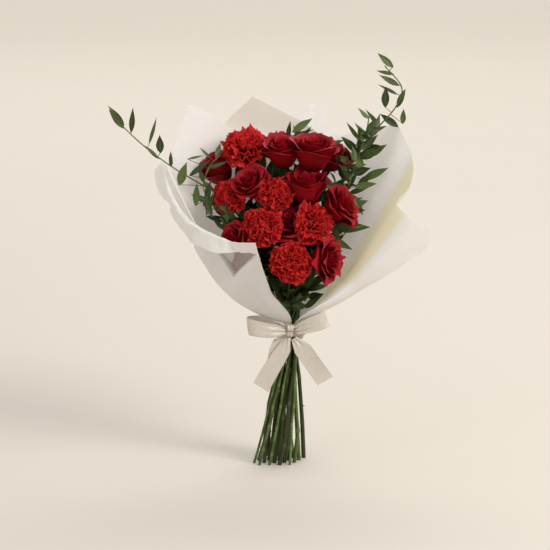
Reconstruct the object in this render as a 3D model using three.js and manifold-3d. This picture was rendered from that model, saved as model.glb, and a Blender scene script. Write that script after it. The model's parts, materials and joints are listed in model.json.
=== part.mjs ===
// A hand-tied bunch of red carnations and red roses with Italian ruscus, wrapped in ivory paper
// and tied with a satin ribbon. It stands on the cut ends of its spiralled stems.
// Millimetres, +Z up, the bunch's open face towards -Y, origin in the middle of the cut ends.
import * as THREE from "three";
import { mergeVertices } from "three/addons/utils/BufferGeometryUtils.js";
import Module from "manifold-3d";

const wasm = await Module();
wasm.setup();

const { degToRad, lerp, clamp } = THREE.MathUtils;
const vec = (x, y, z) => new THREE.Vector3(x, y, z);

// ---------------------------------------------------------------- driving dimensions
const TIE = vec(17, 0, 198); // the binding point, where the stems cross
const GAP = 0.4; // air kept between two pieces that touch
const STEM_PITCH = 5.3; // stem to stem in the bundle at the tie
const FOOT_SPREAD = 2.75; // how much wider the stems stand at their cut ends
const SPIRAL = degToRad(-58); // turn of the stems round each other, from the tie down to the cut ends
const SPIRAL_ABOVE = degToRad(-60); // turn from a flower's lean to its place in the bundle
const BINDING_RADIUS = 15.6; // inside of the twine round the bundle
const TWINE = 1.3; // twine thickness
const PAPER = 0.6;
const PAPER_BELOW = 15; // how far the paper reaches below the middle of the tie
const PAPER_ABOVE = 10; // where the paper leaves the tie and opens out
const WAY_POINTS = 44; // points along a stem's bent part
const EASING_ROUNDS = 60;
const RIBBON_WIDTH = 25;
const RIBBON = 0.7;
const BAND_RADIUS = 21.4;
const BAND_HEIGHT = 19;

// A carnation: tubular calyx and a domed, frilled head of petals. Lengths follow the head's radius R.
const CALYX = { length: 26, radius: 6.6, base: 3.6 };
// A rose: a round hip under a cup of broad petals.
const HIP = { length: 13, radius: 6.2, base: 3.2 };

// Where each flower's head sits, which way it faces and its radius. turn: degrees to the viewer's right of straight
// ahead. lift: degrees above the horizon.
const CARNATIONS = [
  { at: [-48, 22, 457], turn: -20, lift: 52, radius: 33 },
  { at: [3, 52, 452], turn: 0, lift: 62, radius: 26 },
  { at: [-72, -14, 391], turn: -30, lift: 22, radius: 25 },
  { at: [-5, -34, 400], turn: 8, lift: 38, radius: 26 },
  { at: [-24, -56, 356], turn: -12, lift: 26, radius: 28 },
  { at: [49, -50, 358], turn: 24, lift: 26, radius: 29 },
  { at: [17, -72, 308], turn: 4, lift: 12, radius: 29 },
];
// Leaves on a rose's stem: [share of the way up, turn, lift, length].
const ROSES = [
  { at: [6, 6, 444], turn: -10, lift: 72, radius: 24, leaves: [[0.93, -20, 20, 42], [0.9, 30, 0, 40]] },
  { at: [48, 0, 441], turn: 22, lift: 74, radius: 26, leaves: [[0.91, -10, 5, 42], [0.93, 60, 25, 36]] },
  { at: [76, 34, 434], turn: 60, lift: 58, radius: 22, leaves: [[0.9, 80, 15, 40]] },
  { at: [-84, 34, 416], turn: -60, lift: 58, radius: 24, leaves: [[0.88, -85, 30, 42]] },
  { at: [-37, -18, 405], turn: -35, lift: 52, radius: 22, leaves: [[0.9, -50, 60, 40]] },
  { at: [39, -20, 397], turn: 15, lift: 76, radius: 25, leaves: [[0.9, 40, 10, 34]] },
  { at: [82, -22, 374], turn: 65, lift: 34, radius: 23, leaves: [[0.84, 85, 5, 46], [0.78, 70, -8, 44]] },
  { at: [62, -54, 309], turn: 62, lift: 4, radius: 23, leaves: [[0.76, 66, 24, 46], [0.71, 60, 8, 34]] },
  { at: [-55, -42, 329], turn: -50, lift: 26, radius: 21, leaves: [[0.8, -60, 64, 46]] },
  { at: [14, -26, 345], turn: 0, lift: 56, radius: 19, leaves: [[0.82, 0, 20, 30]] },
];

// Ruscus sprigs: the route of each stem above the tie, and the leaves along it.
const SPRIGS = [
  {
    route: [[-22, 18, 300], [-74, 10, 380], [-112, 4, 406], [-150, 0, 430], [-190, 0, 460], [-224, 0, 492]],
    leaves: 14, first: 0.52, length: 38,
  },
  {
    route: [[-28, 4, 296], [-82, -12, 364], [-106, -12, 398], [-100, -8, 430], [-84, -2, 448]],
    leaves: 12, first: 0.54, length: 36,
  },
  {
    route: [[44, 24, 300], [86, 26, 400], [112, 26, 446], [138, 28, 480], [166, 32, 512], [174, 34, 540], [150, 38, 570]],
    leaves: 22, first: 0.5, length: 38,
  },
  {
    route: [[50, 10, 300], [88, 2, 376], [102, 0, 414], [114, 6, 450], [124, 10, 482], [128, 12, 506]],
    leaves: 18, first: 0.5, length: 38,
  },
  {
    route: [[56, -8, 290], [84, -20, 326], [98, -34, 346], [120, -40, 354]],
    leaves: 7, first: 0.66, length: 42,
  },
  {
    route: [[22, 50, 310], [32, 62, 390], [33, 66, 440], [30, 60, 474]],
    leaves: 9, first: 0.78, length: 36,
  },
];

// The paper, as ribs that start round the tie and open like an umbrella's. Degrees and mm.
// azimuth: 0 right, 90 back, 180 left, 270 front. root and tip: the rib's tilt from upright where it
// leaves the tie and at its end. gathered: how far round a rib is drawn at the tie, to close the front.
const SHEETS = [
  {
    name: "wrap_back_left", layer: 1, rows: 8,
    ribs: [
      { azimuth: 84, root: 27, tip: 8, length: 254 },
      { azimuth: 112, root: 30, tip: 9, length: 272 },
      { azimuth: 136, root: 34, tip: 9, length: 288 },
      { azimuth: 157, root: 40, tip: 10, length: 338 },
      { azimuth: 168, root: 44, tip: 16, length: 298 },
      { azimuth: 178, root: 50, tip: 20, length: 272 },
    ],
  },
  {
    name: "wrap_back_middle", layer: 2, rows: 8,
    ribs: [
      { azimuth: 66, root: 32, tip: 8, length: 268 },
      { azimuth: 84, root: 32, tip: 10, length: 292 },
      { azimuth: 102, root: 32, tip: 6, length: 310 },
      { azimuth: 118, root: 34, tip: 2, length: 328 },
      { azimuth: 132, root: 38, tip: 6, length: 304 },
      { azimuth: 146, root: 42, tip: 14, length: 272 },
    ],
  },
  {
    name: "wrap_back_right", layer: 3, rows: 8,
    ribs: [
      { azimuth: 24, root: 47, tip: 21, length: 256 },
      { azimuth: 42, root: 44, tip: 18, length: 262 },
      { azimuth: 60, root: 40, tip: 14, length: 274 },
      { azimuth: 76, root: 37, tip: 8, length: 322 },
      { azimuth: 90, root: 37, tip: 10, length: 298 },
      { azimuth: 104, root: 38, tip: 14, length: 278 },
    ],
  },
  {
    name: "wrap_right", layer: 1, rows: 8,
    ribs: [
      { azimuth: 62, root: 27, tip: 17, length: 264 },
      { azimuth: 40, root: 31, tip: 20, length: 290 },
      { azimuth: 16, root: 36, tip: 18, length: 312 },
      { azimuth: 4, root: 39, tip: 27, length: 284 },
      { azimuth: -10, root: 42, tip: 32, length: 254, gathered: -14 },
      { azimuth: -24, root: 47, tip: 29, length: 228, gathered: -24 },
      { azimuth: -28, root: 55, tip: 38, length: 226, gathered: -44, layer: 1.5 },
      { azimuth: -20, root: 60, tip: 44, length: 238, gathered: -46, layer: 2 },
      { azimuth: -10, root: 62, tip: 52, length: 210, gathered: -48, layer: 2 },
    ],
  },
  {
    name: "wrap_left", layer: 2, rows: 13, rolled: { rows: 4, angle: 186, radius: 5, flap: 15 },
    ribs: [
      { azimuth: 164, root: 53, tip: 22, length: 278, rolled: 0.5 },
      { azimuth: 180, root: 58, tip: 18, length: 256, rolled: 0.8 },
      { azimuth: 192, root: 58, tip: 20, length: 234 },
      { azimuth: 206, root: 56, tip: 24, length: 202, rolled: 1.3 },
      { azimuth: 222, root: 48, tip: 26, length: 166, rolled: 1.1 },
      { azimuth: 238, root: 38, tip: 24, length: 130, rolled: 0.3 },
    ],
  },
  {
    name: "wrap_front_left", layer: 3, rows: 8,
    ribs: [
      { azimuth: 176, root: 70, tip: 26, length: 160 },
      { azimuth: 190, root: 72, tip: 18, length: 172 },
      { azimuth: 204, root: 71, tip: 12, length: 176 },
      { azimuth: 218, root: 67, tip: 10, length: 175, gathered: 4 },
      { azimuth: 232, root: 58, tip: 16, length: 170, gathered: 14 },
      { azimuth: 246, root: 45, tip: 28, length: 171, gathered: 26 },
    ],
  },
];

// ---------------------------------------------------------------- solids
// A three.js geometry as a manifold-3d solid.
function solid(geometry) {
  const bare = geometry.clone();
  for (const name of Object.keys(bare.attributes)) if (name !== "position") bare.deleteAttribute(name);
  const merged = mergeVertices(bare, 1e-4);
  return new wasm.Manifold(new wasm.Mesh({
    numProp: 3,
    vertProperties: merged.attributes.position.array,
    triVerts: new Uint32Array(merged.index.array),
  }));
}

function geometryOf(manifold) {
  const mesh = manifold.getMesh();
  const geometry = new THREE.BufferGeometry();
  geometry.setAttribute("position", new THREE.BufferAttribute(new Float32Array(mesh.vertProperties), 3));
  geometry.setIndex(new THREE.BufferAttribute(new Uint32Array(mesh.triVerts), 1));
  geometry.computeVertexNormals();
  return geometry;
}

const largest = (manifold) => manifold.decompose().sort((a, b) => b.volume() - a.volume())[0];
const union = (parts) => parts.reduce((whole, part) => whole.add(part));

// Moves every vertex of a geometry through a function of its position.
function shaped(geometry, place) {
  const position = geometry.attributes.position;
  const point = new THREE.Vector3();
  for (let i = 0; i < position.count; i++) {
    point.fromBufferAttribute(position, i);
    const moved = place(point);
    position.setXYZ(i, moved.x, moved.y, moved.z);
  }
  return geometry;
}

// A round rod along a curve, with a ring at each station and a radius for it. Both run from 0 to 1 along the curve.
function rod(curve, stations, sides, radius) {
  const tangents = stations.map((t) => curve.getTangentAt(t));
  const rings = [vec(1, 0, 0).cross(tangents[0]).normalize()];
  for (let k = 1; k < stations.length; k++) {
    const turned = new THREE.Quaternion().setFromUnitVectors(tangents[k - 1], tangents[k]);
    rings.push(rings[k - 1].clone().applyQuaternion(turned));
  }
  const unit = new THREE.CylinderGeometry(1, 1, 1, sides, stations.length - 1);
  return shaped(unit, (p) => {
    const k = Math.round((p.y + 0.5) * (stations.length - 1));
    const r = radius(stations[k]);
    const across = rings[k].clone().cross(tangents[k]);
    return curve.getPointAt(stations[k]).addScaledVector(rings[k], p.x * r).addScaledVector(across, p.z * r);
  });
}

// A thin sheet over a surface given by a function of u and v, each from 0 to 1. Its thickness is on the
// surface's normal.
function sheet(surface, columns, rows, thickness, extra) {
  const step = 1e-3;
  const unit = new THREE.BoxGeometry(1, 1, 1, columns, rows, 1);
  return shaped(unit, (p) => {
    const u = p.x + 0.5;
    const v = p.y + 0.5;
    const here = surface(u, v);
    const du = surface(Math.min(u + step, 1), v).sub(surface(Math.max(u - step, 0), v)).normalize();
    const dv = surface(u, Math.min(v + step, 1)).sub(surface(u, Math.max(v - step, 0))).normalize();
    const normal = du.clone().cross(dv).normalize();
    here.addScaledVector(du, Math.sign(p.x) * extra * (Math.abs(p.x) > 0.499));
    here.addScaledVector(dv, Math.sign(p.y) * extra * (Math.abs(p.y) > 0.499));
    return here.addScaledVector(normal, p.z * (thickness + 2 * extra));
  });
}

// ---------------------------------------------------------------- flowers
function facing({ turn, lift }) {
  const a = degToRad(turn);
  const e = degToRad(lift);
  return vec(Math.sin(a) * Math.cos(e), -Math.cos(a) * Math.cos(e), Math.sin(e));
}

// A head of petals as a closed form round its axis. Each tier is [radius, height, ruffle], as shares
// of the head's radius.
const CARNATION_TIERS = [
  [0.2, 0.02, 0], [0.62, 0.12, 0.02], [1.0, 0.34, 0.08], [0.86, 0.5, -0.06], [0.84, 0.68, 0.09],
  [0.6, 0.76, -0.08], [0.56, 0.92, 0.1], [0.3, 0.9, -0.1], [0.22, 1.0, 0.1],
];
const ROSE_TIERS = [
  [0.26, 0.02, 0], [0.66, 0.16, 0.01], [0.86, 0.6, 0.03], [1.0, 1.14, 0.08], [0.78, 1.08, 0.03],
  [0.66, 1.3, 0.05], [0.46, 1.2, 0.02], [0.34, 1.36, 0.04], [0.16, 1.26, 0],
];
const HEAD_HEIGHT = { carnation: 1.0, rose: 1.36 };

function petalHead(tiers, radius, sides, lobes, extra) {
  const grown = radius + extra;
  const unit = new THREE.SphereGeometry(1, sides, tiers.length + 1);
  return shaped(unit, (p) => {
    const row = Math.round((Math.acos(clamp(-p.y, -1, 1)) / Math.PI) * (tiers.length + 1));
    if (row === 0) return vec(0, 0, tiers[0][1] * radius - extra);
    if (row > tiers.length) return vec(0, 0, tiers.at(-1)[1] * radius - 2 + extra);
    const [r, z, ruffle] = tiers[row - 1];
    const angle = Math.atan2(p.z, p.x);
    const wave = Math.cos(lobes * angle + row * 1.3);
    const reach = r * (1 + ruffle * wave) * grown;
    const lift = row <= 1 ? -extra : extra * (row > 3 ? 1 : 0);
    return vec(reach * Math.cos(angle), -reach * Math.sin(angle), (z + 0.35 * ruffle * wave) * radius + lift);
  });
}

// Turns a shape made round +Z so that its axis is the given direction, with its origin at a point.
function placed(geometry, origin, axis) {
  geometry.applyQuaternion(new THREE.Quaternion().setFromUnitVectors(vec(0, 0, 1), axis));
  return geometry.translate(origin.x, origin.y, origin.z);
}

function cup({ length, radius, base }, extra) {
  const profile = [
    [0, -length], [base, -length], [radius * 0.92, -length * 0.7], [radius, -length * 0.4], [radius * 0.96, 0], [0, 0],
  ];
  const points = profile.map(([r, z]) => new THREE.Vector2(r ? r + extra : 0, z + (z < 0 ? -extra : extra)));
  return new THREE.LatheGeometry(points, 10).rotateX(Math.PI / 2);
}

// ---------------------------------------------------------------- stems
// Each stem has a place in the bundle at the tie. Below the tie the stems run straight and spiral out to their cut ends.
function bundlePlaces(count) {
  const places = [];
  for (let i = -4; i <= 4; i++)
    for (let j = -4; j <= 4; j++)
      places.push(new THREE.Vector2((i + j / 2) * STEM_PITCH, j * STEM_PITCH * Math.sqrt(0.75)));
  return places.sort((a, b) => a.length() - b.length() || a.x - b.x || a.y - b.y).slice(0, count);
}

// The way a flower leans from the tie, turned to its place in the bundle.
function lean(target) {
  const rise = target.z - TIE.z;
  return new THREE.Vector2((target.x - TIE.x) / rise, (target.y - TIE.y) / rise)
    .rotateAround(new THREE.Vector2(), SPIRAL_ABOVE);
}

// Gives each plant a place in the bundle on its own side, by swapping places while that brings stems and leans together.
function shareBundle(plants) {
  const places = bundlePlaces(plants.length);
  const leans = plants.map((plant) => lean(plant.target));
  for (let swapped = true; swapped; ) {
    swapped = false;
    for (let i = 0; i < places.length; i++)
      for (let j = i + 1; j < places.length; j++) {
        const now = places[i].dot(leans[i]) + places[j].dot(leans[j]);
        const other = places[j].dot(leans[i]) + places[i].dot(leans[j]);
        if (other <= now + 1e-9) continue;
        [places[i], places[j]] = [places[j], places[i]];
        swapped = true;
      }
  }
  plants.forEach((plant, i) => (plant.place = places[i]));
}

function footOf(place) {
  const spread = place.clone().rotateAround(new THREE.Vector2(), SPIRAL).multiplyScalar(FOOT_SPREAD);
  return vec(spread.x, spread.y, 0);
}

// The straight part of a stem: from just below the ground to the tie.
function straightPart(plant) {
  const waist = vec(TIE.x + plant.place.x, TIE.y + plant.place.y, TIE.z);
  const foot = footOf(plant.place);
  const up = waist.clone().sub(foot).normalize();
  return { start: foot.addScaledVector(up, -6), waist, up };
}

// The bent part, as points from the tie to the neck of the flower or the tip of the sprig.
function bentPart(plant) {
  const { waist, up } = straightPart(plant);
  if (plant.route) {
    const points = [waist, waist.clone().addScaledVector(up, 30), ...plant.route.map((p) => vec(...p))];
    return new THREE.CatmullRomCurve3(points, false, "centripetal").getSpacedPoints(WAY_POINTS);
  }
  const reach = waist.distanceTo(plant.neck);
  return new THREE.CubicBezierCurve3(
    waist,
    waist.clone().addScaledVector(up, 0.36 * reach),
    plant.neck.clone().addScaledVector(plant.axis, -0.34 * reach),
    plant.neck,
  ).getSpacedPoints(WAY_POINTS);
}

// Where two stems would run through each other above the tie, or a stem through a flower's green cup, they are eased
// apart a little at a time.
function easeApart(plants) {
  for (const plant of plants) {
    const { tie } = THICKNESS[plant.kind];
    plant.way = bentPart(plant).map((at, k) => ({ at, radius: tie, held: k < 2 || k > WAY_POINTS - 2 }));
    plant.body = [...plant.way];
    if (!plant.neck) continue;
    for (const share of [0.25, 0.5, 0.75, 1])
      plant.body.push({ at: plant.neck.clone().lerp(plant.mouth, share), radius: CALYX.radius, held: true });
  }
  const push = new THREE.Vector3();
  const separate = (p, q) => {
    const need = p.radius + q.radius + GAP;
    if (Math.abs(p.at.z - q.at.z) > need || (p.held && q.held)) return;
    push.subVectors(p.at, q.at);
    const distance = push.length();
    if (distance >= need) return;
    push.setLength((need - distance) / 2);
    if (!p.held) p.at.add(push);
    if (!q.held) q.at.sub(push);
  };
  for (let round = 0; round < EASING_ROUNDS; round++) {
    for (let i = 0; i < plants.length; i++)
      for (let j = i + 1; j < plants.length; j++)
        for (const p of plants[i].body) for (const q of plants[j].body) separate(p, q);
    for (const { way } of plants)
      for (let k = 2; k < WAY_POINTS - 1; k++)
        way[k].at.lerp(way[k - 1].at.clone().lerp(way[k + 1].at, 0.5), 0.25);
  }
}

function stemLine(plant) {
  const { start, waist } = straightPart(plant);
  const line = new THREE.CurvePath();
  line.add(new THREE.LineCurve3(start, waist));
  const points = plant.way.map((p) => p.at);
  if (plant.neck) points.push(plant.neck.clone().addScaledVector(plant.axis, 2));
  line.add(new THREE.CatmullRomCurve3(points, false, "centripetal"));
  return line;
}

const GROUND = solid(new THREE.BoxGeometry(900, 900, 900).translate(0, 0, 450));

// Thicker at the cut end than at the tie, and thinnest at the neck.
function stemRadius(thickness, line) {
  const tieAt = TIE.z / line.getLength();
  return (t) => (t < tieAt ? lerp(thickness.foot, thickness.tie, t / tieAt)
    : lerp(thickness.tie, thickness.neck, (t - tieAt) / (1 - tieAt)));
}

const THICKNESS = {
  carnation: { foot: 2.9, tie: 2.35, neck: 2.0 },
  rose: { foot: 3.1, tie: 2.4, neck: 2.2 },
  ruscus: { foot: 1.9, tie: 1.6, neck: 0.9 },
};

// Rings of a stem's rod: few on the straight part, then evenly up to where the leaves start.
function stationsOf(plant, line) {
  const tieAt = TIE.z / line.getLength();
  const last = plant.leafAt?.[0] ?? 1;
  const bent = Math.max(3, Math.round((last - tieAt) * 20));
  const stations = [0, tieAt];
  for (let k = 1; k < bent; k++) stations.push(lerp(tieAt, last, k / bent));
  return [...stations, ...(plant.leafAt ?? []), 1];
}

function stalk(plant, extra) {
  const line = stemLine(plant);
  const radius = stemRadius(THICKNESS[plant.kind], line);
  const sides = plant.kind === "ruscus" ? 5 : 7;
  const shaft = solid(rod(line, stationsOf(plant, line), sides, (t) => radius(t) + extra));
  if (plant.kind === "ruscus") return shaft.intersect(GROUND);
  const green = plant.kind === "carnation" ? CALYX : HIP;
  return shaft.add(solid(placed(cup(green, extra), plant.mouth, plant.axis))).intersect(GROUND);
}

function flowerPetals(plant, extra) {
  const [tiers, sides, lobes] = plant.kind === "carnation" ? [CARNATION_TIERS, 18, 9] : [ROSE_TIERS, 15, 5];
  const origin = plant.mouth.clone().addScaledVector(plant.axis, GAP);
  return solid(placed(petalHead(tiers, plant.radius, sides, lobes, extra), origin, plant.axis));
}

// ---------------------------------------------------------------- leaves
// A pointed leaf blade: a flattened spindle with a slight arch, made along +Z and facing +X.
function leafBlade(length, width, thickness, extra) {
  const unit = new THREE.SphereGeometry(1, 4, 4);
  return shaped(unit, (p) => {
    const t = Math.acos(clamp(-p.y, -1, 1)) / Math.PI;
    const swell = Math.sin(Math.PI * t ** 0.85);
    const side = Math.atan2(p.z, p.x);
    const across = Math.sin(side) * (width / 2 + extra) * swell;
    const out = Math.cos(side) * (thickness / 2 + extra) * swell;
    return vec(out + 0.12 * length * t * t, -across, t * (length + extra));
  });
}

// Puts a blade's foot in the stem at a point, with its tip along one direction and its upper face towards another.
function placedBlade(blade, base, along, upper) {
  const across = along.clone().cross(upper).normalize();
  const face = across.clone().cross(along);
  const turn = new THREE.Matrix4().makeBasis(face, across, along);
  return blade.applyMatrix4(turn.setPosition(base.addScaledVector(along, -1.5)));
}

// The leaves of a rose stem, in the directions given for it.
function roseLeaves(plant, extra) {
  const line = stemLine(plant);
  return union(plant.leaves.map(([share, turn, lift, length]) => {
    const blade = leafBlade(length, length * 0.42, 1.6, extra);
    return solid(placedBlade(blade, line.getPointAt(share), facing({ turn, lift }), vec(0, 0, 1)));
  }));
}

// The leaves of a ruscus sprig, left and right by turns, with one at the tip.
function sprigLeaves(plant, extra) {
  const line = stemLine(plant);
  return union(plant.leafAt.map((at, i) => {
    const tangent = line.getTangentAt(at);
    const side = vec(0, -1, 0).cross(tangent).normalize().multiplyScalar(i % 2 ? 1 : -1);
    const splay = i === plant.leafAt.length - 1 ? 0 : degToRad(46);
    const axis = tangent.clone().multiplyScalar(Math.cos(splay)).addScaledVector(side, Math.sin(splay));
    axis.addScaledVector(vec(0, -1, 0), 0.25 * Math.sin(i * 2.1)).normalize();
    const length = plant.length * lerp(1, 0.75, i / plant.leafAt.length);
    const blade = leafBlade(length, length * 0.36, 1.4, extra);
    return solid(placedBlade(blade, line.getPointAt(at), axis, side.clone().cross(axis)));
  }));
}

// ---------------------------------------------------------------- paper
// A point of a sheet: u goes from its first rib to its last, v from below the tie to the rib's end.
// The first row of the sheet is held flat against the stems. A rolled edge takes the last rows:
// it turns outwards and ends in a short flap.
function sheetSurface({ ribs, layer, rows, rolled }) {
  const knots = ribs.map((rib) => vec(rib.azimuth, rib.root, rib.tip));
  const bends = new THREE.CatmullRomCurve3(knots, false, "centripetal");
  const body = rolled ? (rows - 1 - rolled.rows) / (rows - 1) : 1;
  return (u, v) => {
    const at = u * (ribs.length - 1);
    const k = Math.min(Math.floor(at), ribs.length - 2);
    const between = (value) => lerp(value(ribs[k]), value(ribs[k + 1]), at - k);
    const { x: azimuth, y: root, z: tip } = bends.getPoint(u);
    const length = between((rib) => rib.length);
    const run = (v * rows - 1) / (rows - 1);
    const spacing = PAPER + GAP + 0.15;
    const outwards = spacing * (between((rib) => rib.layer ?? layer) - 1);
    const out = { r: BINDING_RADIUS + TWINE + 0.9 + outwards, z: PAPER_ABOVE };
    if (run < 0) out.z = lerp(PAPER_ABOVE, -PAPER_BELOW, -run * (rows - 1));
    const bend = degToRad(tip - root);
    const a = degToRad(root);
    const b = a + bend * clamp(run / body, 0, 1);
    out.r += (length / bend) * (Math.cos(a) - Math.cos(b));
    out.z += (length / bend) * (Math.sin(b) - Math.sin(a));
    if (rolled && run > body) {
      const share = between((rib) => rib.rolled ?? 1);
      const past = (run - body) / (1 - body);
      const c = b + degToRad(rolled.angle) * Math.min(share, 1) * Math.min(past / 0.75, 1);
      const flap = rolled.flap * share * Math.max(past / 0.25 - 3, 0);
      out.r += rolled.radius * (Math.cos(b) - Math.cos(c)) + flap * Math.sin(c);
      out.z += rolled.radius * (Math.sin(c) - Math.sin(b)) + flap * Math.cos(c);
    }
    const open = THREE.MathUtils.smoothstep(run, 0, 0.45);
    const turn = degToRad(azimuth + between((rib) => rib.gathered ?? 0) * (1 - open));
    return vec(TIE.x + out.r * Math.cos(turn), TIE.y + out.r * Math.sin(turn), TIE.z + out.z);
  };
}

function paper(plan, extra) {
  return solid(sheet(sheetSurface(plan), 2 * (plan.ribs.length - 1), plan.rows, PAPER, extra));
}

// ---------------------------------------------------------------- ribbon
// A length of ribbon along a curve. wide gives the direction across the ribbon at a share of its length.
function strip(points, wide, steps, extra, width = () => RIBBON_WIDTH) {
  const curve = new THREE.CatmullRomCurve3(points.map((p) => vec(...p)).map((p) => p.add(TIE)), false, "centripetal");
  const surface = (u, v) => curve.getPointAt(u).addScaledVector(wide(u), (v - 0.5) * width(u));
  return solid(sheet(surface, steps, 1, RIBBON, extra));
}

const tilted = (degrees) => () => vec(Math.sin(degToRad(degrees)), 0, Math.cos(degToRad(degrees)));
const pinched = (u) => RIBBON_WIDTH * (0.42 + 0.58 * Math.sin(Math.PI * clamp(u, 0, 1)) ** 0.6);
const KNOT = { at: vec(-1, -27.2, 1), radius: [6.4, 4.6, 9] };

const RIBBONS = {
  ribbon_band: (extra) => {
    const [inside, outside, half] = [BAND_RADIUS - extra, BAND_RADIUS + RIBBON + extra, BAND_HEIGHT / 2 + extra];
    const ring = [[inside, -half], [outside, -half], [outside, half], [inside, half], [inside, -half]];
    const lathe = new THREE.LatheGeometry(ring.map(([r, z]) => new THREE.Vector2(r, z)), 36).rotateX(Math.PI / 2);
    return solid(lathe.translate(TIE.x, TIE.y, TIE.z));
  },
  ribbon_knot: (extra) => {
    const [x, y, z] = KNOT.radius;
    const ball = new THREE.SphereGeometry(1, 12, 8).scale(x + extra, y + extra, z + extra);
    return solid(ball.translate(TIE.x + KNOT.at.x, TIE.y + KNOT.at.y, TIE.z + KNOT.at.z));
  },
  ribbon_loop_left: (extra) => strip(
    [[-8.4, -29, 1], [-28, -37, 3], [-50, -39, 7], [-61, -34, 9], [-57, -28, 10.5], [-34, -25.6, 11], [-8.6, -25.6, 5]],
    tilted(-6), 22, extra, pinched,
  ),
  ribbon_loop_right: (extra) => strip(
    [[6.6, -29, 3], [24, -36, 10], [42, -38, 17], [51, -33, 21], [47, -28, 21.5], [27, -25.8, 15], [6.8, -25.6, 5]],
    tilted(-18), 22, extra, pinched,
  ),
  ribbon_tail_left: (extra) => strip(
    [[-6, -30.5, -9.5], [-14, -34, -29], [-28, -36, -53], [-43, -37, -80]],
    (u) => vec(0.9, -0.05 - 0.2 * Math.sin(3 * u), 0.2 - 0.75 * u).normalize(), 10, extra,
    (u) => RIBBON_WIDTH * (0.4 + 0.6 * clamp(u * 4, 0, 1)),
  ),
  ribbon_tail_right: (extra) => strip(
    [[4.6, -29.5, -9.5], [17, -31, -26], [33, -30, -49], [49, -27, -73]],
    (u) => vec(0.87, 0.1 - 0.2 * Math.sin(3 * u), 0.48).normalize(), 10, extra,
    (u) => RIBBON_WIDTH * (0.35 + 0.65 * clamp(u * 4, 0, 1)),
  ),
  ribbon_tail_back: (extra) => strip(
    [[-14, -24.5, -10.5], [-20, -28.5, -22], [-24, -30.5, -42]],
    () => vec(0.97, -0.1, 0.1).normalize(), 6, extra, () => 20,
  ),
};

function binding(extra) {
  const turns = 3;
  const inside = BINDING_RADIUS - extra;
  const outside = BINDING_RADIUS + TWINE + extra;
  const half = (turns * TWINE * 1.5) / 2 + extra;
  const ring = [[inside, -half], [outside, -half], [outside, half], [inside, half], [inside, -half]];
  const lathe = new THREE.LatheGeometry(ring.map(([r, z]) => new THREE.Vector2(r, z)), 32).rotateX(Math.PI / 2);
  return solid(lathe.translate(TIE.x, TIE.y, TIE.z));
}

// ---------------------------------------------------------------- the bunch
function flower(kind, number, { at, turn, lift, radius, leaves = [] }) {
  const axis = facing({ turn, lift });
  const mouth = vec(...at).addScaledVector(axis, -0.5 * HEAD_HEIGHT[kind] * radius);
  const green = kind === "carnation" ? CALYX : HIP;
  const neck = mouth.clone().addScaledVector(axis, -green.length);
  return { kind, name: `${kind}_${number}`, axis, mouth, neck, radius, leaves, target: neck };
}

const flowers = [
  ...CARNATIONS.map((plan, i) => flower("carnation", i + 1, plan)),
  ...ROSES.map((plan, i) => flower("rose", i + 1, plan)),
];
const sprigs = SPRIGS.map((plan, i) => ({
  ...plan, kind: "ruscus", name: `ruscus_sprig_${i + 1}`, target: vec(...plan.route[1]),
  leafAt: Array.from({ length: plan.leaves }, (_, k) => lerp(plan.first, 0.985, k / (plan.leaves - 1))),
}));
const plants = [...sprigs, ...flowers];
shareBundle(plants);
easeApart(plants);

const COLOURS = {
  carnation: [0xc9171c, 0.55], rose: [0x8e0c10, 0.5], stem: [0x4f6326, 0.5], leaf: [0x3f5323, 0.4],
  paper: [0xefe9e0, 0.8], ribbon: [0xe9e3d9, 0.3], twine: [0xb9a57e, 0.9],
};

const pieces = new Map();
const taken = []; // the room each piece takes up, made a gap larger

function boxOf(manifold) {
  const { min, max } = manifold.boundingBox();
  return new THREE.Box3(vec(...min), vec(...max));
}

// Adds a piece, or the rest of a piece, cut back where it would come nearer than the gap to another piece.
function add(name, colour, make) {
  let shape = make(0);
  const box = boxOf(shape);
  for (const other of taken)
    if (other.name !== name && box.intersectsBox(other.box)) shape = shape.subtract(other.grown);
  const before = pieces.get(name);
  pieces.set(name, { colour, shape: largest(before ? before.shape.add(shape) : shape) });
  taken.push({ name, box: box.expandByScalar(1), grown: make(GAP) });
}

const stemName = (plant) => (plant.kind === "ruscus" ? plant.name : `${plant.name}_stem`);
const stemColour = (plant) => (plant.kind === "ruscus" ? "leaf" : "stem");
for (const plant of plants) add(stemName(plant), stemColour(plant), (extra) => stalk(plant, extra));
add("binding_twine", "twine", binding);
for (const plan of SHEETS) add(plan.name, "paper", (extra) => paper(plan, extra));
for (const [name, make] of Object.entries(RIBBONS)) add(name, "ribbon", make);
for (const plant of flowers) add(`${plant.name}_petals`, plant.kind, (extra) => flowerPetals(plant, extra));
for (const plant of sprigs) add(stemName(plant), "leaf", (extra) => sprigLeaves(plant, extra));
for (const plant of flowers)
  if (plant.leaves.length) add(stemName(plant), "stem", (extra) => roseLeaves(plant, extra));

const bunch = new THREE.Group();
for (const [name, { colour, shape }] of pieces) {
  const [color, roughness] = COLOURS[colour];
  const mesh = new THREE.Mesh(geometryOf(shape), new THREE.MeshStandardMaterial({ color, roughness, metalness: 0 }));
  mesh.name = name;
  bunch.add(mesh);
}

export default bunch;
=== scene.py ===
import json
import math
import random

import bpy
import numpy as np
from mathutils import Matrix, Quaternion, Vector, noise

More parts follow.
